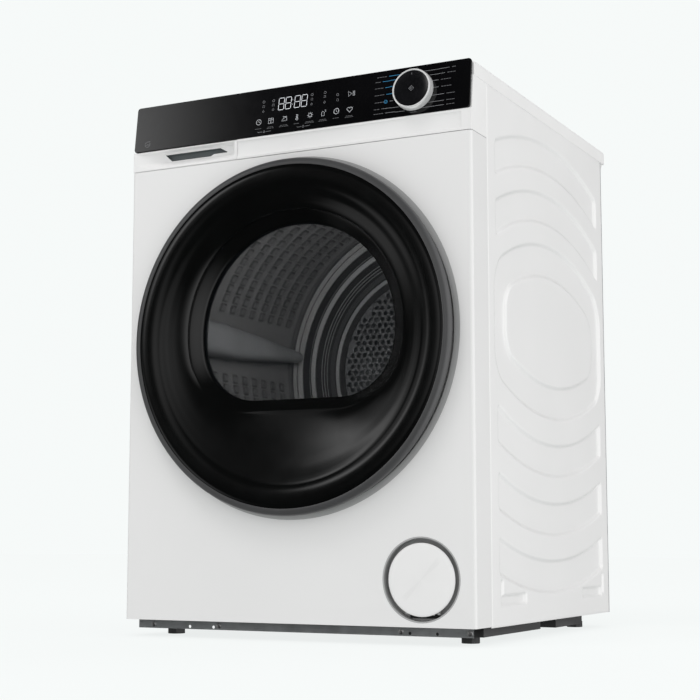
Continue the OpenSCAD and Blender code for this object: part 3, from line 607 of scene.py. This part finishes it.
def side_panel(node, outward):
    """A side sheet with its pressed bands and rolled edges; outward is the sign of its X."""
    low, high = node_box(node)
    deep = np.linspace(low.y - FRONT, high.y - FRONT, 262)
    tall = np.linspace(low.z, high.z, 386)
    d, z = np.meshgrid(deep, tall, indexing="ij")
    edge = np.minimum.reduce([d - deep[0], deep[-1] - d, z - tall[0], tall[-1] - z])
    x = HALF_W - pressing(d, z) - 0.6 * (1 - smooth(edge, 0, 2.5))
    skins = [np.stack([outward * (x - inset), d, z], -1).reshape(-1, 3)
             for inset in (0.0, 1.0)]
    verts = [place(*p) for p in np.concatenate(skins)]
    quads, rim = grid(*d.shape)
    count = d.size
    wall = [(a, b, b + count, a + count) for a, b in zip(rim, rim[1:] + rim[:1])]
    faces = quads + [[i + count for i in q[::-1]] for q in quads] + wall
    return piece(node + "_pressed", verts, faces, "white_paint", "cabinet", [node], sharp=50)


def cover_disc():
    """The service flap: a dished disc with a rolled edge, its neck and its hinge barrel."""
    profile = [(0.05, 0.15), (34, 0.15), (45, 0.25), (49.5, 0.4), (51.4, 0.8), (52.3, 1.7),
               (52.2, 2.6), (50, 2.9), (48, 2.9), (0.05, 2.9)]
    disc = lathe(profile, 128, COVER_X, COVER_Z)
    axis_d = JOINTS["flap_hinge"]["pos_m"][1] / MM - FRONT
    axis_z = JOINTS["flap_hinge"]["pos_m"][2] / MM
    half = 18.0
    neck = block(COVER_X - half, 2.5, axis_z - 3, COVER_X + half, axis_d - 2.2, axis_z + 3)
    barrels = [rod_x(3.9, COVER_X + s * 12 - 6, COVER_X + s * 12 + 6, axis_d, axis_z)
               for s in (-1, 1)]
    return piece("service_flap_disc", *joined([disc, neck] + barrels), "white_plastic",
                 "service_flap", ["filter_cover"])


DRAWER_BACK_D = 19.5
SCOOP_DEEP, POCKET_DEEP = 12.0, 18
POCKET_FLOOR, POCKET_TOP = 755.0, 767.2
POCKET_SHADE_D = 13  # behind this depth the pocket is painted grey as shade


def tank_front():
    """The drawer's white front: a scoop that deepens to the right, and the finger pocket, painted
    grey as shade where it is deep.
    """
    (x0, _, z0), (x1, _, z1) = node_box("tank_front")
    x, z = np.meshgrid(np.linspace(x0, x1, 264), np.linspace(z0, z1, 66), indexing="ij")
    run = np.clip((x + 290) / 46, 0, 1) * (1 - smooth(x, -116, -103))
    floor = smooth(z, 742.5 + 4 * (1 - run), 756)
    lip = 1 - smooth(z, 769.6, 771.2)
    scoop = SCOOP_DEEP * run * floor * lip
    bottom = POCKET_FLOOR + 3.2 * smooth(x, -158, -149)
    left = -243 + (POCKET_TOP - z) * 1.1
    right = -139 + (POCKET_TOP - z) * 1.75
    inside = np.minimum.reduce([POCKET_TOP - z, z - bottom, x - left, right - x])
    depth = np.maximum(scoop, POCKET_DEEP * smooth(inside, -0.4, 1.2) * lip)
    edge = np.minimum.reduce([x - x0, x1 - x, z - z0, z1 - z])
    depth = depth + 0.8 * (1 - smooth(edge, 0, 1.0))
    quads, rim = grid(*x.shape)
    points = np.stack([x, depth, z], -1).reshape(-1, 3)
    back = points[rim].copy()
    back[:, 1] = DRAWER_BACK_D
    verts = [place(*p) for p in np.concatenate([points, back])]
    low = [len(points) + i for i in range(len(rim))]
    wall = list(zip(rim, rim[1:] + rim[:1], low[1:] + low[:1], low))
    made = piece("tank_drawer_front", verts, quads + wall + [low], "white_plastic",
                 "tank_drawer", ["tank_front"], sharp=60)
    # Painted shade: faces deep in the pocket take the grey material.
    made.data.materials.append(POCKET_PAINTED_SHADE)
    for face in list(made.data.polygons)[:len(quads)]:
        if face.center.y > (FRONT + POCKET_SHADE_D) * MM:
            face.material_index = 1
    return made


def screw_places():
    """Each screw in the CAD node: x, outer face's depth, z, the way it faces, and radius."""
    mesh = NODES["cabinet_screws"].data
    co = np.array([v.co for v in mesh.vertices])
    _, same = np.unique(np.round(co, 5), axis=0, return_inverse=True)
    group = np.arange(same.max() + 1)

    def root(i):
        while group[i] != i:
            i = group[i]
        return i

    for face in mesh.polygons:
        roots = [root(same[i]) for i in face.vertices]
        for r in roots[1:]:
            group[root(r)] = root(roots[0])
    owner = np.array([root(i) for i in same])
    for r in np.unique(owner):
        island = co[owner == r] / MM
        low, high = island.min(0), island.max(0)
        middle = (low + high) / 2
        facing = -1 if middle[1] < 0 else 1
        face_d = (low if facing < 0 else high)[1] - FRONT
        yield middle[0], face_d, middle[2], facing, (high[0] - low[0]) / 2


def screws():
    """Pan heads with a cross recess, on short necks."""
    parts = []
    rings, sides = 9, 40
    for x, face_d, z, facing, radius in screw_places():
        rows = []
        for i in range(rings):
            r = radius * (0.01 + 0.99 * i / (rings - 1))
            row = []
            for a in turns(sides):
                px, pz = r * math.cos(a), r * math.sin(a)
                cross = r < 0.62 * radius and min(abs(px), abs(pz)) < 0.16 * radius
                sink = 1.1 if cross else 0.9 * (r / radius) ** 4
                row.append(place(x + px, face_d - facing * sink, z + pz))
            rows.append(row)
        for r, sink in ((radius, 1.95), (radius * 0.5, 1.98), (radius * 0.48, 6.0)):
            rows.append([place(x + r * math.cos(a), face_d - facing * sink, z + r * math.sin(a))
                         for a in turns(sides)])
        verts, faces = skin(rows)
        faces.append(tuple(range(sides)))
        faces.append(tuple(range(len(verts) - sides, len(verts))))
        parts.append((verts, faces))
    return piece("cabinet_screw_heads", *joined(parts), "bright_steel", "cabinet",
                 ["cabinet_screws"])


# ---------- drum ----------
LIFTER_AT = 173.0  # degrees, from +X towards +Z
LIFTERS = 3
BARE = 10.5  # degrees of plain wall on each side of a lifter
BOSS_TURN, BOSS_RUN, BOSS_HIGH = 3.6, 33, 4.2  # degrees and depth from boss to boss; height


def from_lifter(angle):
    """Degrees from the nearest lifter."""
    step = 360 / LIFTERS
    return np.abs((angle - LIFTER_AT + step / 2) % step - step / 2)


def drum_shell():
    """The drum's wall, with rows of raised bosses on its inner face."""
    columns = 828
    angle = np.arange(columns) * 360 / columns
    inner = np.concatenate([np.linspace(DRUM_REAR, DRUM_REAR - 20, 5),
                            np.linspace(DRUM_REAR - 24, 200, 132)[:-1],
                            np.linspace(200, DRUM_FRONT + 6, 8)])
    d, a = np.meshgrid(inner, angle, indexing="ij")
    away = from_lifter(a)
    across = np.abs((away - BARE) / BOSS_TURN % 1 - 0.5)
    along = np.abs((d - 212) / BOSS_RUN % 1 - 0.5)
    boss = (1 - smooth(across, 0.30, 0.46)) * (1 - smooth(along, 0.19, 0.30))
    region = (smooth(away, BARE, BARE + 0.3) * smooth(d, 211.5, 213)
              * (1 - smooth(d, 475.5, 477)))
    seam = 1.2 * (1 - smooth(np.abs(d - 488), 1.5, 4))
    radii = list(DRUM_R - 1 - BOSS_HIGH * boss * region - seam)
    depths = list(inner)
    lip = [(DRUM_R - 5, DRUM_FRONT + 1.4), (DRUM_R - 12, DRUM_FRONT + 1.2),
           (238.4, DRUM_FRONT + 1.2), (238, DRUM_FRONT + 0.6), (238.4, DRUM_FRONT),
           (DRUM_R - 12, DRUM_FRONT), (DRUM_R - 3.6, DRUM_FRONT + 0.2),
           (DRUM_R - 0.8, DRUM_FRONT + 2), (DRUM_R, DRUM_FRONT + 5), (DRUM_R, DRUM_REAR)]
    for radius, depth in lip:
        radii.append([radius] * columns)
        depths.append(depth)
    rows = [[place(r * math.cos(math.radians(t)), depth, AXIS_Z + r * math.sin(math.radians(t)))
             for r, t in zip(ring, angle)] for ring, depth in zip(radii, depths)]
    # The wall's material paints shade on the sides of the bosses.
    return piece("drum_shell_embossed", *skin(rows, close_rows=True), "drum_steel", "drum",
                 ["drum_shell"], sharp=60, material=WALL_PAINTED_SHADE)


PLATE_R = 170.0


def rear_wall():
    """The drum's back: raised rings round a perforated plate, and the hub."""
    # inner radius, outer radius and height of each ring
    ridges = [(270.8, 279.5, 4.8), (259, 269.2, 5.4), (243.5, 245.5, 3.0), (232, 241, 4.6),
              (217.5, 219.5, 3.4), (212, 214, 3.4), (206.6, 208.6, 3.2), (192, 201, 1.6),
              (181.5, 188.5, 4.0)]
    soft = 0.6
    profile = []
    for r in np.linspace(DRUM_R - 1.2, PLATE_R, 256):
        rise = max(h * float(smooth(r, low - soft, low + soft)
                             * (1 - smooth(r, high - soft, high + soft)))
                   for low, high, h in ridges)
        profile.append((float(r), DRUM_REAR - rise))
    back = [(r, DRUM_REAR + 1.1) for r in (PLATE_R, DRUM_R - 1.2)]
    ring = lathe(profile + back, 200)
    hub = lathe([(0.05, DRUM_REAR - 1.5), (20, DRUM_REAR - 1.5), (27, DRUM_REAR - 0.6),
                 (30, DRUM_REAR + 0.4), (36, DRUM_REAR + 1.2), (36, DRUM_REAR + 6),
                 (0.05, DRUM_REAR + 6)], 64)
    # The rings' material paints highlights on the ring tops and shade on the flats.
    return piece("drum_rear_rings", *joined([ring, hub]), "drum_steel", "drum",
                 ["drum_rear_wall"], sharp=60, material=RING_PAINTED_HIGHLIGHT)


def rear_plate():
    """The perforated plate: round holes on a hexagonal grid."""
    pitch, hole, sides = 12.4, 4.2, 14
    shape = bmesh.new()

    def ring(cx, cz, r, n):
        loop = [shape.verts.new(place(cx + r * math.cos(a), DRUM_REAR,
                                      AXIS_Z + cz + r * math.sin(a))) for a in turns(n)]
        return [shape.edges.new((loop[k], loop[(k + 1) % n])) for k in range(n)]

    edges = ring(0, 0, PLATE_R + 1, 160) + ring(0, 0, 26, 48)
    reach = int(PLATE_R / pitch * 1.3) + 1
    for row in range(-reach, reach + 1):
        for col in range(-reach, reach + 1):
            cx = pitch * (col + 0.5 * (row % 2))
            cz = pitch * math.sqrt(0.75) * row
            if 34 < math.hypot(cx, cz) < PLATE_R - 7:
                edges += ring(cx, cz, hole, sides)
    bmesh.ops.triangle_fill(shape, use_beauty=True, use_dissolve=False, edges=edges,
                            normal=(0, -1, 0))
    mesh = bpy.data.meshes.new("drum_rear_plate")
    shape.to_mesh(mesh)
    shape.free()
    mesh.materials.append(MATERIALS["drum_steel"])
    made = placed("drum_rear_plate", mesh, "drum_steel", "drum")
    solid = made.modifiers.new("thickness", "SOLIDIFY")
    solid.thickness = 1.1 * MM
    solid.offset = -1
    rim = made.modifiers.new("hole_edges", "BEVEL")
    rim.width = 0.5 * MM
    rim.segments = 2
    rim.limit_method = "ANGLE"
    return made


def lifters():
    """Three blades, tall and wide at the front and tapering to the rear."""
    parts = []
    front, rear, sections, around = 118.0, 486.0, 40, 26
    for i in range(LIFTERS):
        turn = math.radians(LIFTER_AT + i * 360 / LIFTERS)
        out = Vector((math.cos(turn), 0, math.sin(turn)))
        side = Vector((-math.sin(turn), 0, math.cos(turn)))
        rows = []
        for s in range(sections + 1):
            t = s / sections
            front_end = float(smooth(t, 0, 0.05))
            high = (44 - 10 * t) * (0.15 + 0.85 * front_end) - 3 * float(smooth(t, 0.97, 1))
            wide = (28 - 17 * float(smooth(t, 0.3, 1.1))) * (0.6 + 0.4 * front_end)
            wide -= 3 * float(smooth(t, 0.97, 1))
            step = 5.0 * (1 - float(smooth(t, 0.26, 0.28)))
            centre = place(0, front + (rear - front) * t, AXIS_Z)
            row = []
            for k in range(around):
                a = math.pi * k / (around - 1)
                spread = math.copysign(abs(math.cos(a)) ** 0.6, math.cos(a))
                lift = math.sin(a) ** 0.55
                across = wide * spread - (step if spread < 0 else 0)
                reach = DRUM_R - 1.5 - across ** 2 / (2 * DRUM_R) - high * lift
                row.append(centre + out * (reach * MM) + side * (across * MM))
            rows.append(row)
        verts, faces = skin(rows)
        faces.append(tuple(range(around)))
        faces.append(tuple(range(len(verts) - around, len(verts)))[::-1])
        parts.append((verts, faces))
    return piece("drum_lifter_blades", *joined(parts), "grey_plastic", "drum",
                 ["drum_lifters"], sharp=40)


# ---------- fascia ----------
def arc(cx, cz, r, start=0.0, end=360.0, n=20):
    """Points of an arc; a full circle ends as it began."""
    pts = [(cx + r * math.cos(math.radians(start + (end - start) * k / n)),
            cz + r * math.sin(math.radians(start + (end - start) * k / n)))
           for k in range(n + 1)]
    if end - start == 360:
        pts[-1] = pts[0]
    return pts


def knob():
    """The selector: a plated sleeve and ring round a black face."""
    side = Vector((1, 0, 0))

    def turned(profile):
        rows = [[KNOB + FASCIA_OUT * (w * MM) + side * (r * MM * math.cos(a))
                 + FASCIA_UP * (r * MM * math.sin(a)) for a in turns(128)]
                for r, w in profile]
        return skin(rows, close_rows=True)

    trim = turned([(28, 12.4), (28.2, 13.0), (28.8, 13.3), (29.8, 13.2), (30.5, 12.6),
                   (30.7, 11.8), (31.0, 8), (31.3, 3), (31.3, 1.2), (30.9, 0.8), (28, 0.8)])
    piece("knob_sleeve", *trim, "knob_silver", "knob", ["knob_ring"])
    face = turned([(0.05, 11.9), (16, 12.0), (24, 12.25), (27.4, 12.7), (27.9, 12.4),
                   (27.9, 1.0), (3, 1.0), (3, -10.5), (0.05, -10.5)])
    piece("knob_face", *face, "knob_black", "knob", ["knob_body"])
    x, z = KNOB.x / MM, KNOB.z / MM
    strokes("knob_marks", [[(x, z + 21.5), (x, z + 25)], [(x - 0.8, z + 25), (x + 0.8, z + 25)]],
            0.55, PRINT_GREY, "knob_silver", "knob", 12.3)
    diamonds = [[(x - r, z), (x, z + r), (x + r, z), (x, z - r), (x - r, z)]
                for r in (4.2, 1.8)]
    strokes("knob_centre", diamonds, 0.6, PRINT_GREY, "knob_silver", "knob", 12.1)


# The seven strokes of a digit, as ends on a grid one wide and two high
SEGMENTS = (((0, 2), (1, 2)), ((1, 2), (1, 1)), ((1, 1), (1, 0)), ((0, 0), (1, 0)),
            ((0, 1), (0, 0)), ((0, 2), (0, 1)), ((0, 1), (1, 1)))


def display():
    """Four seven-segment digits and a colon."""
    low, high, wide, slant = 812.2, 831.4, 9.6, 0.06
    mid = (low + high) / 2
    lines = []
    for left in (-27.6, -15.2, 0.8, 13.0):
        for (ax, az), (bx, bz) in SEGMENTS:
            a = np.array([left + wide * ax, low + (high - low) / 2 * az])
            b = np.array([left + wide * bx, low + (high - low) / 2 * bz])
            gap = (b - a) / np.hypot(*(b - a)) * 0.75
            lines.append([tuple(p + np.array([(p[1] - mid) * slant, 0]))
                          for p in (a + gap, b - gap)])
    for z in (mid - 3.6, mid + 3.6):
        lines.append([(-2.9, z), (-2.9, z + 0.9)])
    strokes("display_digits", lines, 1.15, PRINT_WHITE, "white_plastic")


def touch_icons():
    """Generic symbols over the touch areas, with bars in place of words."""
    z = 796.5
    r = 4.3
    lines = [arc(-61.8, z, r), [(-61.8, z + 2.6), (-61.8, z), (-59.6, z - 0.6)]]
    lines += [[(-44.2, z - 4), (-44.2, z + 4), (-35.4, z + 4), (-35.4, z - 4),
               (-44.2, z - 4)], [(-39.8, z - 4), (-39.8, z + 4)],
              [(-43, z + 1), (-41, z + 1)], [(-38.4, z + 1), (-36.6, z + 1)]]
    lines += [[(-20.6, z - 3), (-11.2, z - 3), (-12, z + 1.6), (-16.6, z + 1.6),
               (-20.6, z - 3)], [(-18.4, z + 3.6), (-12.6, z + 3.6), (-12, z + 1.6)]]
    lines += [[(5.4, z - 1.4), (5.4, z + 4.2), (7.8, z + 4.2), (7.8, z - 1.4)],
              arc(6.6, z - 3, 2, 130, 410, 16), [(6.6, z - 3), (6.6, z + 1.6)]]
    lines += [arc(29.7, z, 2.6)]
    lines += [[(29.7 + 3.5 * math.cos(t), z + 3.5 * math.sin(t)),
               (29.7 + 4.9 * math.cos(t), z + 4.9 * math.sin(t))]
              for t in (k * math.pi / 4 for k in range(8))]
    lines += [[(49.8, z - 4.4), (54.4, z - 4.4), (54.4, z + 1.4), (52.1, z + 3.2),
               (49.8, z + 1.4), (49.8, z - 4.4)], [(55.6, z + 4.2), (57, z + 4.8)],
              [(55.8, z + 2.4), (57.4, z + 2.4)]]
    lines += [arc(75.2, z, r, 60, 390), [(75.2, z + 2.6), (75.2, z), (77, z - 1)],
              [(77, z + 4.8), (79.2, z + 3.4), (78.8, z + 1)]]
    heart = []
    for k in range(25):
        t = 2 * math.pi * k / 24
        heart.append((98 + 0.29 * 16 * math.sin(t) ** 3,
                      z + 0.29 * (13 * math.cos(t) - 5 * math.cos(2 * t)
                                  - 2 * math.cos(3 * t) - math.cos(4 * t))))
    heart[-1] = heart[0]
    lines.append(heart)
    lines += [[(94.6, 817.8), (94.6, 825.8), (100.4, 821.8), (94.6, 817.8)],
              [(102.6, 817.8), (102.6, 825.8)], [(105, 817.8), (105, 825.8)]]
    strokes("touch_symbols", lines, 0.55, PRINT_WHITE, "white_plastic")
    bars, words = [], []
    for x, wide in ((-61.8, 12), (-39.8, 13), (-15.9, 17), (6.6, 10), (29.7, 17),
                    (52.7, 15), (75.2, 11), (98, 15)):
        for height, share in ((786.2, 0.8), (784.2, 1.0)) if wide > 12 else ((785.6, 1.0),):
            count = max(1, round(wide * share / 4))
            step = wide * share / count
            for k in range(count):
                start = x - wide * share / 2 + k * step
                words.append([(start, height), (start + step - 0.9, height)])
    for left, right in ((-62.7, -39.2), (7.1, 30)):
        middle = (left + right) / 2
        bars += [[(left, 780.6), (left + 1.2, 779.6), (middle - 3, 779.6)],
                 [(middle + 3, 779.6), (right - 1.2, 779.6), (right, 780.6)],
                 arc(middle, 779.6, 1.6, n=10)]
    for x, heights in ((-54.9, (829.3, 821.6, 814.2)), (-37.4, (829, 822, 815)),
                       (31.1, (829.5, 822.2, 814.9)), (53.8, (829.8, 823.3, 814.8)),
                       (76, (823.1, 814.9))):
        for k, height in enumerate(heights):
            if k % 3 == 0:
                bars += [arc(x, height, 1.9, n=10)]
            elif k % 3 == 1:
                bars += [[(x - 1.8, height - 1.6), (x + 1.8, height - 1.6),
                          (x + 1.2, height + 1.6), (x - 1.2, height + 1.6),
                          (x - 1.8, height - 1.6)]]
            else:
                bars += [arc(x, height - 0.6, 1.6, 150, 390, 8),
                         [(x, height - 0.6), (x, height + 1.8)]]
    strokes("display_symbols", bars, 0.6, PRINT_GREY, "grey_plastic")
    strokes("touch_words", words, 1.1, PRINT_DIM, "grey_plastic")


def leader_lines():
    """Lines from the knob's positions to the marks beside it."""
    left = [((162, 840.5), (182, 840.5), 1), ((152, 833), (175, 833.4), 1),
            ((157, 823), (171, 823.4), 1), ((159, 812), (171, 812), 1),
            ((165, 800.4), (171, 800.4), 0), ((152, 789.7), (181, 789.3), 0),
            ((158.6, 782.4), (191, 781.6), 0)]
    right = [((220, 840), (261, 840.6)), ((229.5, 832.5), (254, 832.9)),
             ((234, 823), (244, 823)), ((236, 812), (245, 812)), ((232.5, 800), (254, 800.2)),
             ((226, 789.7), (254, 789.9)), ((214.6, 782.7), (254, 782.9))]
    blue, grey, words = [], [], []

    def word(start, end, height):
        """A dashed bar in place of a word."""
        count = max(1, round((end - start) / 4.2))
        step = (end - start + 0.9) / count
        for k in range(count):
            words.append([(start + k * step, height), (start + (k + 1) * step - 0.9, height)])

    for start, end, tinted in left:
        bend = ((start[0] + end[0]) / 2 + 2, end[1])
        (blue if tinted else grey).append([start, (bend[0] - 3, start[1]), bend, end])
        reach = start[0] - (8.5 if start[0] == 165 else 3.4)
        word(max(139.5, reach - 16), reach, start[1])
    for start, end in right:
        grey.append([start, ((start[0] + end[0]) / 2, start[1]), end])
        word(end[0] + 4, min(end[0] + 20, 271), end[1])
    blue.append(arc(158.6, 800.4, 2.6, n=14))
    blue.append([(157.4, 800.2), (158.4, 799.2), (160, 801.8)])
    word(202, 209.4, 846.6)
    word(200.6, 210.6, 777.8)
    strokes("selector_words", words, 1.25, PRINT_DIM, "grey_plastic")
    strokes("selector_lines_blue", blue, 0.8, PRINT_BLUE, "filter_blue")
    strokes("selector_lines_grey", grey, 0.65, PRINT_GREY, "grey_plastic")


def drawer_symbol():
    """A generic water-tank symbol on the drawer's fascia."""
    x, z = -270.5, 785.5
    lines = [arc(x, z, 4.6, 60, 390, 18), [(x - 2.6, z - 1), (x - 1.2, z), (x, z - 1),
                                          (x + 1.2, z), (x + 2.6, z - 1)],
             [(x + 2.4, z + 5.2), (x + 4.6, z + 4.4)]]
    strokes("drawer_symbol", lines, 0.5, PRINT_GREY, "grey_plastic", "tank_drawer")


# ---------- build ----------
door_dish()
door_window()
window_bead()
door_bezel()
side_panel("right_side_panel", 1)
side_panel("left_side_panel", -1)
cover_disc()
tank_front()
screws()
drum_shell()
rear_wall()
rear_plate()
lifters()
knob()
display()
touch_icons()
leader_lines()
drawer_symbol()
for rounded_node, rounded_by in (
        ("worktop_frame", 1.2), ("worktop_panel", 0.8), ("console_housing", 0.5),
        ("fascia_glass", 0.6), ("tank_fascia", 0.6), ("base_pan", 0.6),
        ("front_plinth", 0.25), ("rear_duct_cover", 0.4), ("water_tank", 1.5)):
    refined(rounded_node, rounded_by)
for corner in ("front_left", "front_right", "rear_left", "rear_right"):
    refined("foot_" + corner, 0.6)


# ---------- stage, light and camera ----------
BACKDROP = (0.925, 0.953, 0.946)


def stage():
    """A plain pale floor, gently uneven in tone."""
    mat = surface("pale_floor", (0.12, 0.122, 0.121), 0.006, 2, 0.95, 0.04, 60, 0.02,
                  Specular_IOR_Level=0.0, Emission_Color=(*BACKDROP, 1),
                  Emission_Strength=0.87)
    size, low = 9.0, -0.0004  # metres: half the floor's width, and just below the feet
    verts = [(x * size, y * size, low) for x, y in ((-1, -1), (1, -1), (1, 1), (-1, 1))]
    mesh = bpy.data.meshes.new("floor")
    mesh.from_pydata(verts, [], [(0, 1, 2, 3)])
    mesh.materials.append(mat)
    floor = bpy.data.objects.new("floor", mesh)
    bpy.context.scene.collection.objects.link(floor)
    floor.visible_glossy = False


def world():
    """Soft surroundings: pale to the eye, even for fill light, softboxes in reflections."""
    scene_world = bpy.data.worlds.new("studio")
    bpy.context.scene.world = scene_world
    scene_world.use_nodes = True
    tree = scene_world.node_tree
    tree.nodes.clear()
    out = tree.nodes.new("ShaderNodeOutputWorld")
    path = tree.nodes.new("ShaderNodeLightPath")
    coords = tree.nodes.new("ShaderNodeTexCoord")
    split = tree.nodes.new("ShaderNodeSeparateXYZ")
    link(tree, coords.outputs["Generated"], split.inputs["Vector"])

    def math_node(kind, *values):
        made = tree.nodes.new("ShaderNodeMath")
        made.operation = kind
        for socket, value in zip(made.inputs, values):
            if isinstance(value, (int, float)):
                socket.default_value = value
            else:
                link(tree, value, socket)
        return made.outputs["Value"]

    def ramp(value, low, high):
        made = tree.nodes.new("ShaderNodeMapRange")
        made.interpolation_type = "SMOOTHSTEP"
        made.inputs["From Min"].default_value = low
        made.inputs["From Max"].default_value = high
        link(tree, value, made.inputs["Value"])
        return made.outputs["Result"]

    def added(total, *values):
        for value in values:
            total = math_node("ADD", total, value)
        return total

    def times(product, *values):
        for value in values:
            product = math_node("MULTIPLY", product, value)
        return product

    def without(value):
        return math_node("SUBTRACT", 1.0, value)

    def between(value, opens, closes):
        """1 between two soft edges and 0 outside them, with the edges in degrees."""
        up = ramp(value, *[math.radians(e) for e in opens])
        down = ramp(value, *[math.radians(e) for e in closes])
        return times(up, without(down))

    def background(color, strength):
        made = tree.nodes.new("ShaderNodeBackground")
        made.inputs["Color"].default_value = (*color, 1)
        if isinstance(strength, (int, float)):
            made.inputs["Strength"].default_value = strength
        else:
            link(tree, strength, made.inputs["Strength"])
        return made.outputs["Background"]

    def mixed(factor, a, b):
        made = tree.nodes.new("ShaderNodeMixShader")
        for socket, value in zip(made.inputs, (factor, a, b)):
            link(tree, value, socket)
        return made.outputs["Shader"]

    x, y, z = (split.outputs[k] for k in "XYZ")
    # angles to the left of straight ahead, and above the horizon
    left = math_node("ARCTAN2", times(x, -1.0), times(y, -1.0))
    rise = math_node("ARCSINE", z)
    # the large softbox to the left of the front, strongest at its near edge
    fade = times(ramp(left, math.radians(41), math.radians(54)), 0.8)
    large = times(between(left, (33.5, 41), (58, 72)), without(fade),
                  between(rise, (3, 17), (25, 33)), 2.7)
    # a low one further to the left
    low = times(between(left, (46, 60), (68, 90)), between(rise, (-42, -22), (-9, 9)), 0.6)
    # a dim one straight ahead
    off_middle = math_node("ABSOLUTE", added(left, math.radians(1)))
    ahead = times(without(ramp(off_middle, 0.0, math.radians(30))),
                  between(rise, (-12, 6), (12, 34)), 0.7)
    mirror = added(large, low, ahead, times(ramp(x, 0.35, 0.9), 1.3), 0.012)
    fill = added(times(ramp(z, -0.2, 0.9), 0.34), times(ramp(x, 0.0, 0.9), 0.36), 0.60)
    sky = mixed(path.outputs["Is Glossy Ray"], background((1, 1, 1), fill),
                background((1, 1, 1), mirror))
    view = mixed(path.outputs["Is Camera Ray"], sky, background(BACKDROP, 1.0))
    link(tree, view, out.inputs["Surface"])


def lamp(name, at, towards, size, power):
    """A round area lamp that lights surfaces but isn't mirrored in them, in metres and watts."""
    data = bpy.data.lights.new(name, "AREA")
    data.shape = "DISK"
    data.size = size
    data.energy = power
    made = bpy.data.objects.new(name, data)
    bpy.context.scene.collection.objects.link(made)
    made.location = at
    made.rotation_euler = (Vector(towards) - Vector(at)).to_track_quat("-Z", "Y").to_euler()
    made.visible_glossy = False


def camera():
    """Low, to the right of the front, and tilted slightly up."""
    lens, right, ahead, high, tilt, turn = 78.24, 1.126, 1.9936, 0.1531, 97.006, 27.244
    data = bpy.data.cameras.new("photo_view")
    data.sensor_width = 36
    data.lens = lens
    made = bpy.data.objects.new("photo_view", data)
    bpy.context.scene.collection.objects.link(made)
    made.location = (right, FRONT * MM - ahead, high)
    made.rotation_euler = (math.radians(tilt), 0, math.radians(turn))
    bpy.context.scene.camera = made


stage()
world()
lamp("key_softbox", (-0.6, -1.6, 3.3), (0, -0.2, 0.6), 0.9, 15)
lamp("side_softbox", (3.2, -0.4, 1.9), (0.3, 0, 0.45), 1.2, 9)
lamp("drum_lamp", place(60, 60, AXIS_Z + 60), place(-40, 420, AXIS_Z), 0.22, 3.2)
camera()
bpy.context.scene.view_settings.view_transform = "Standard"
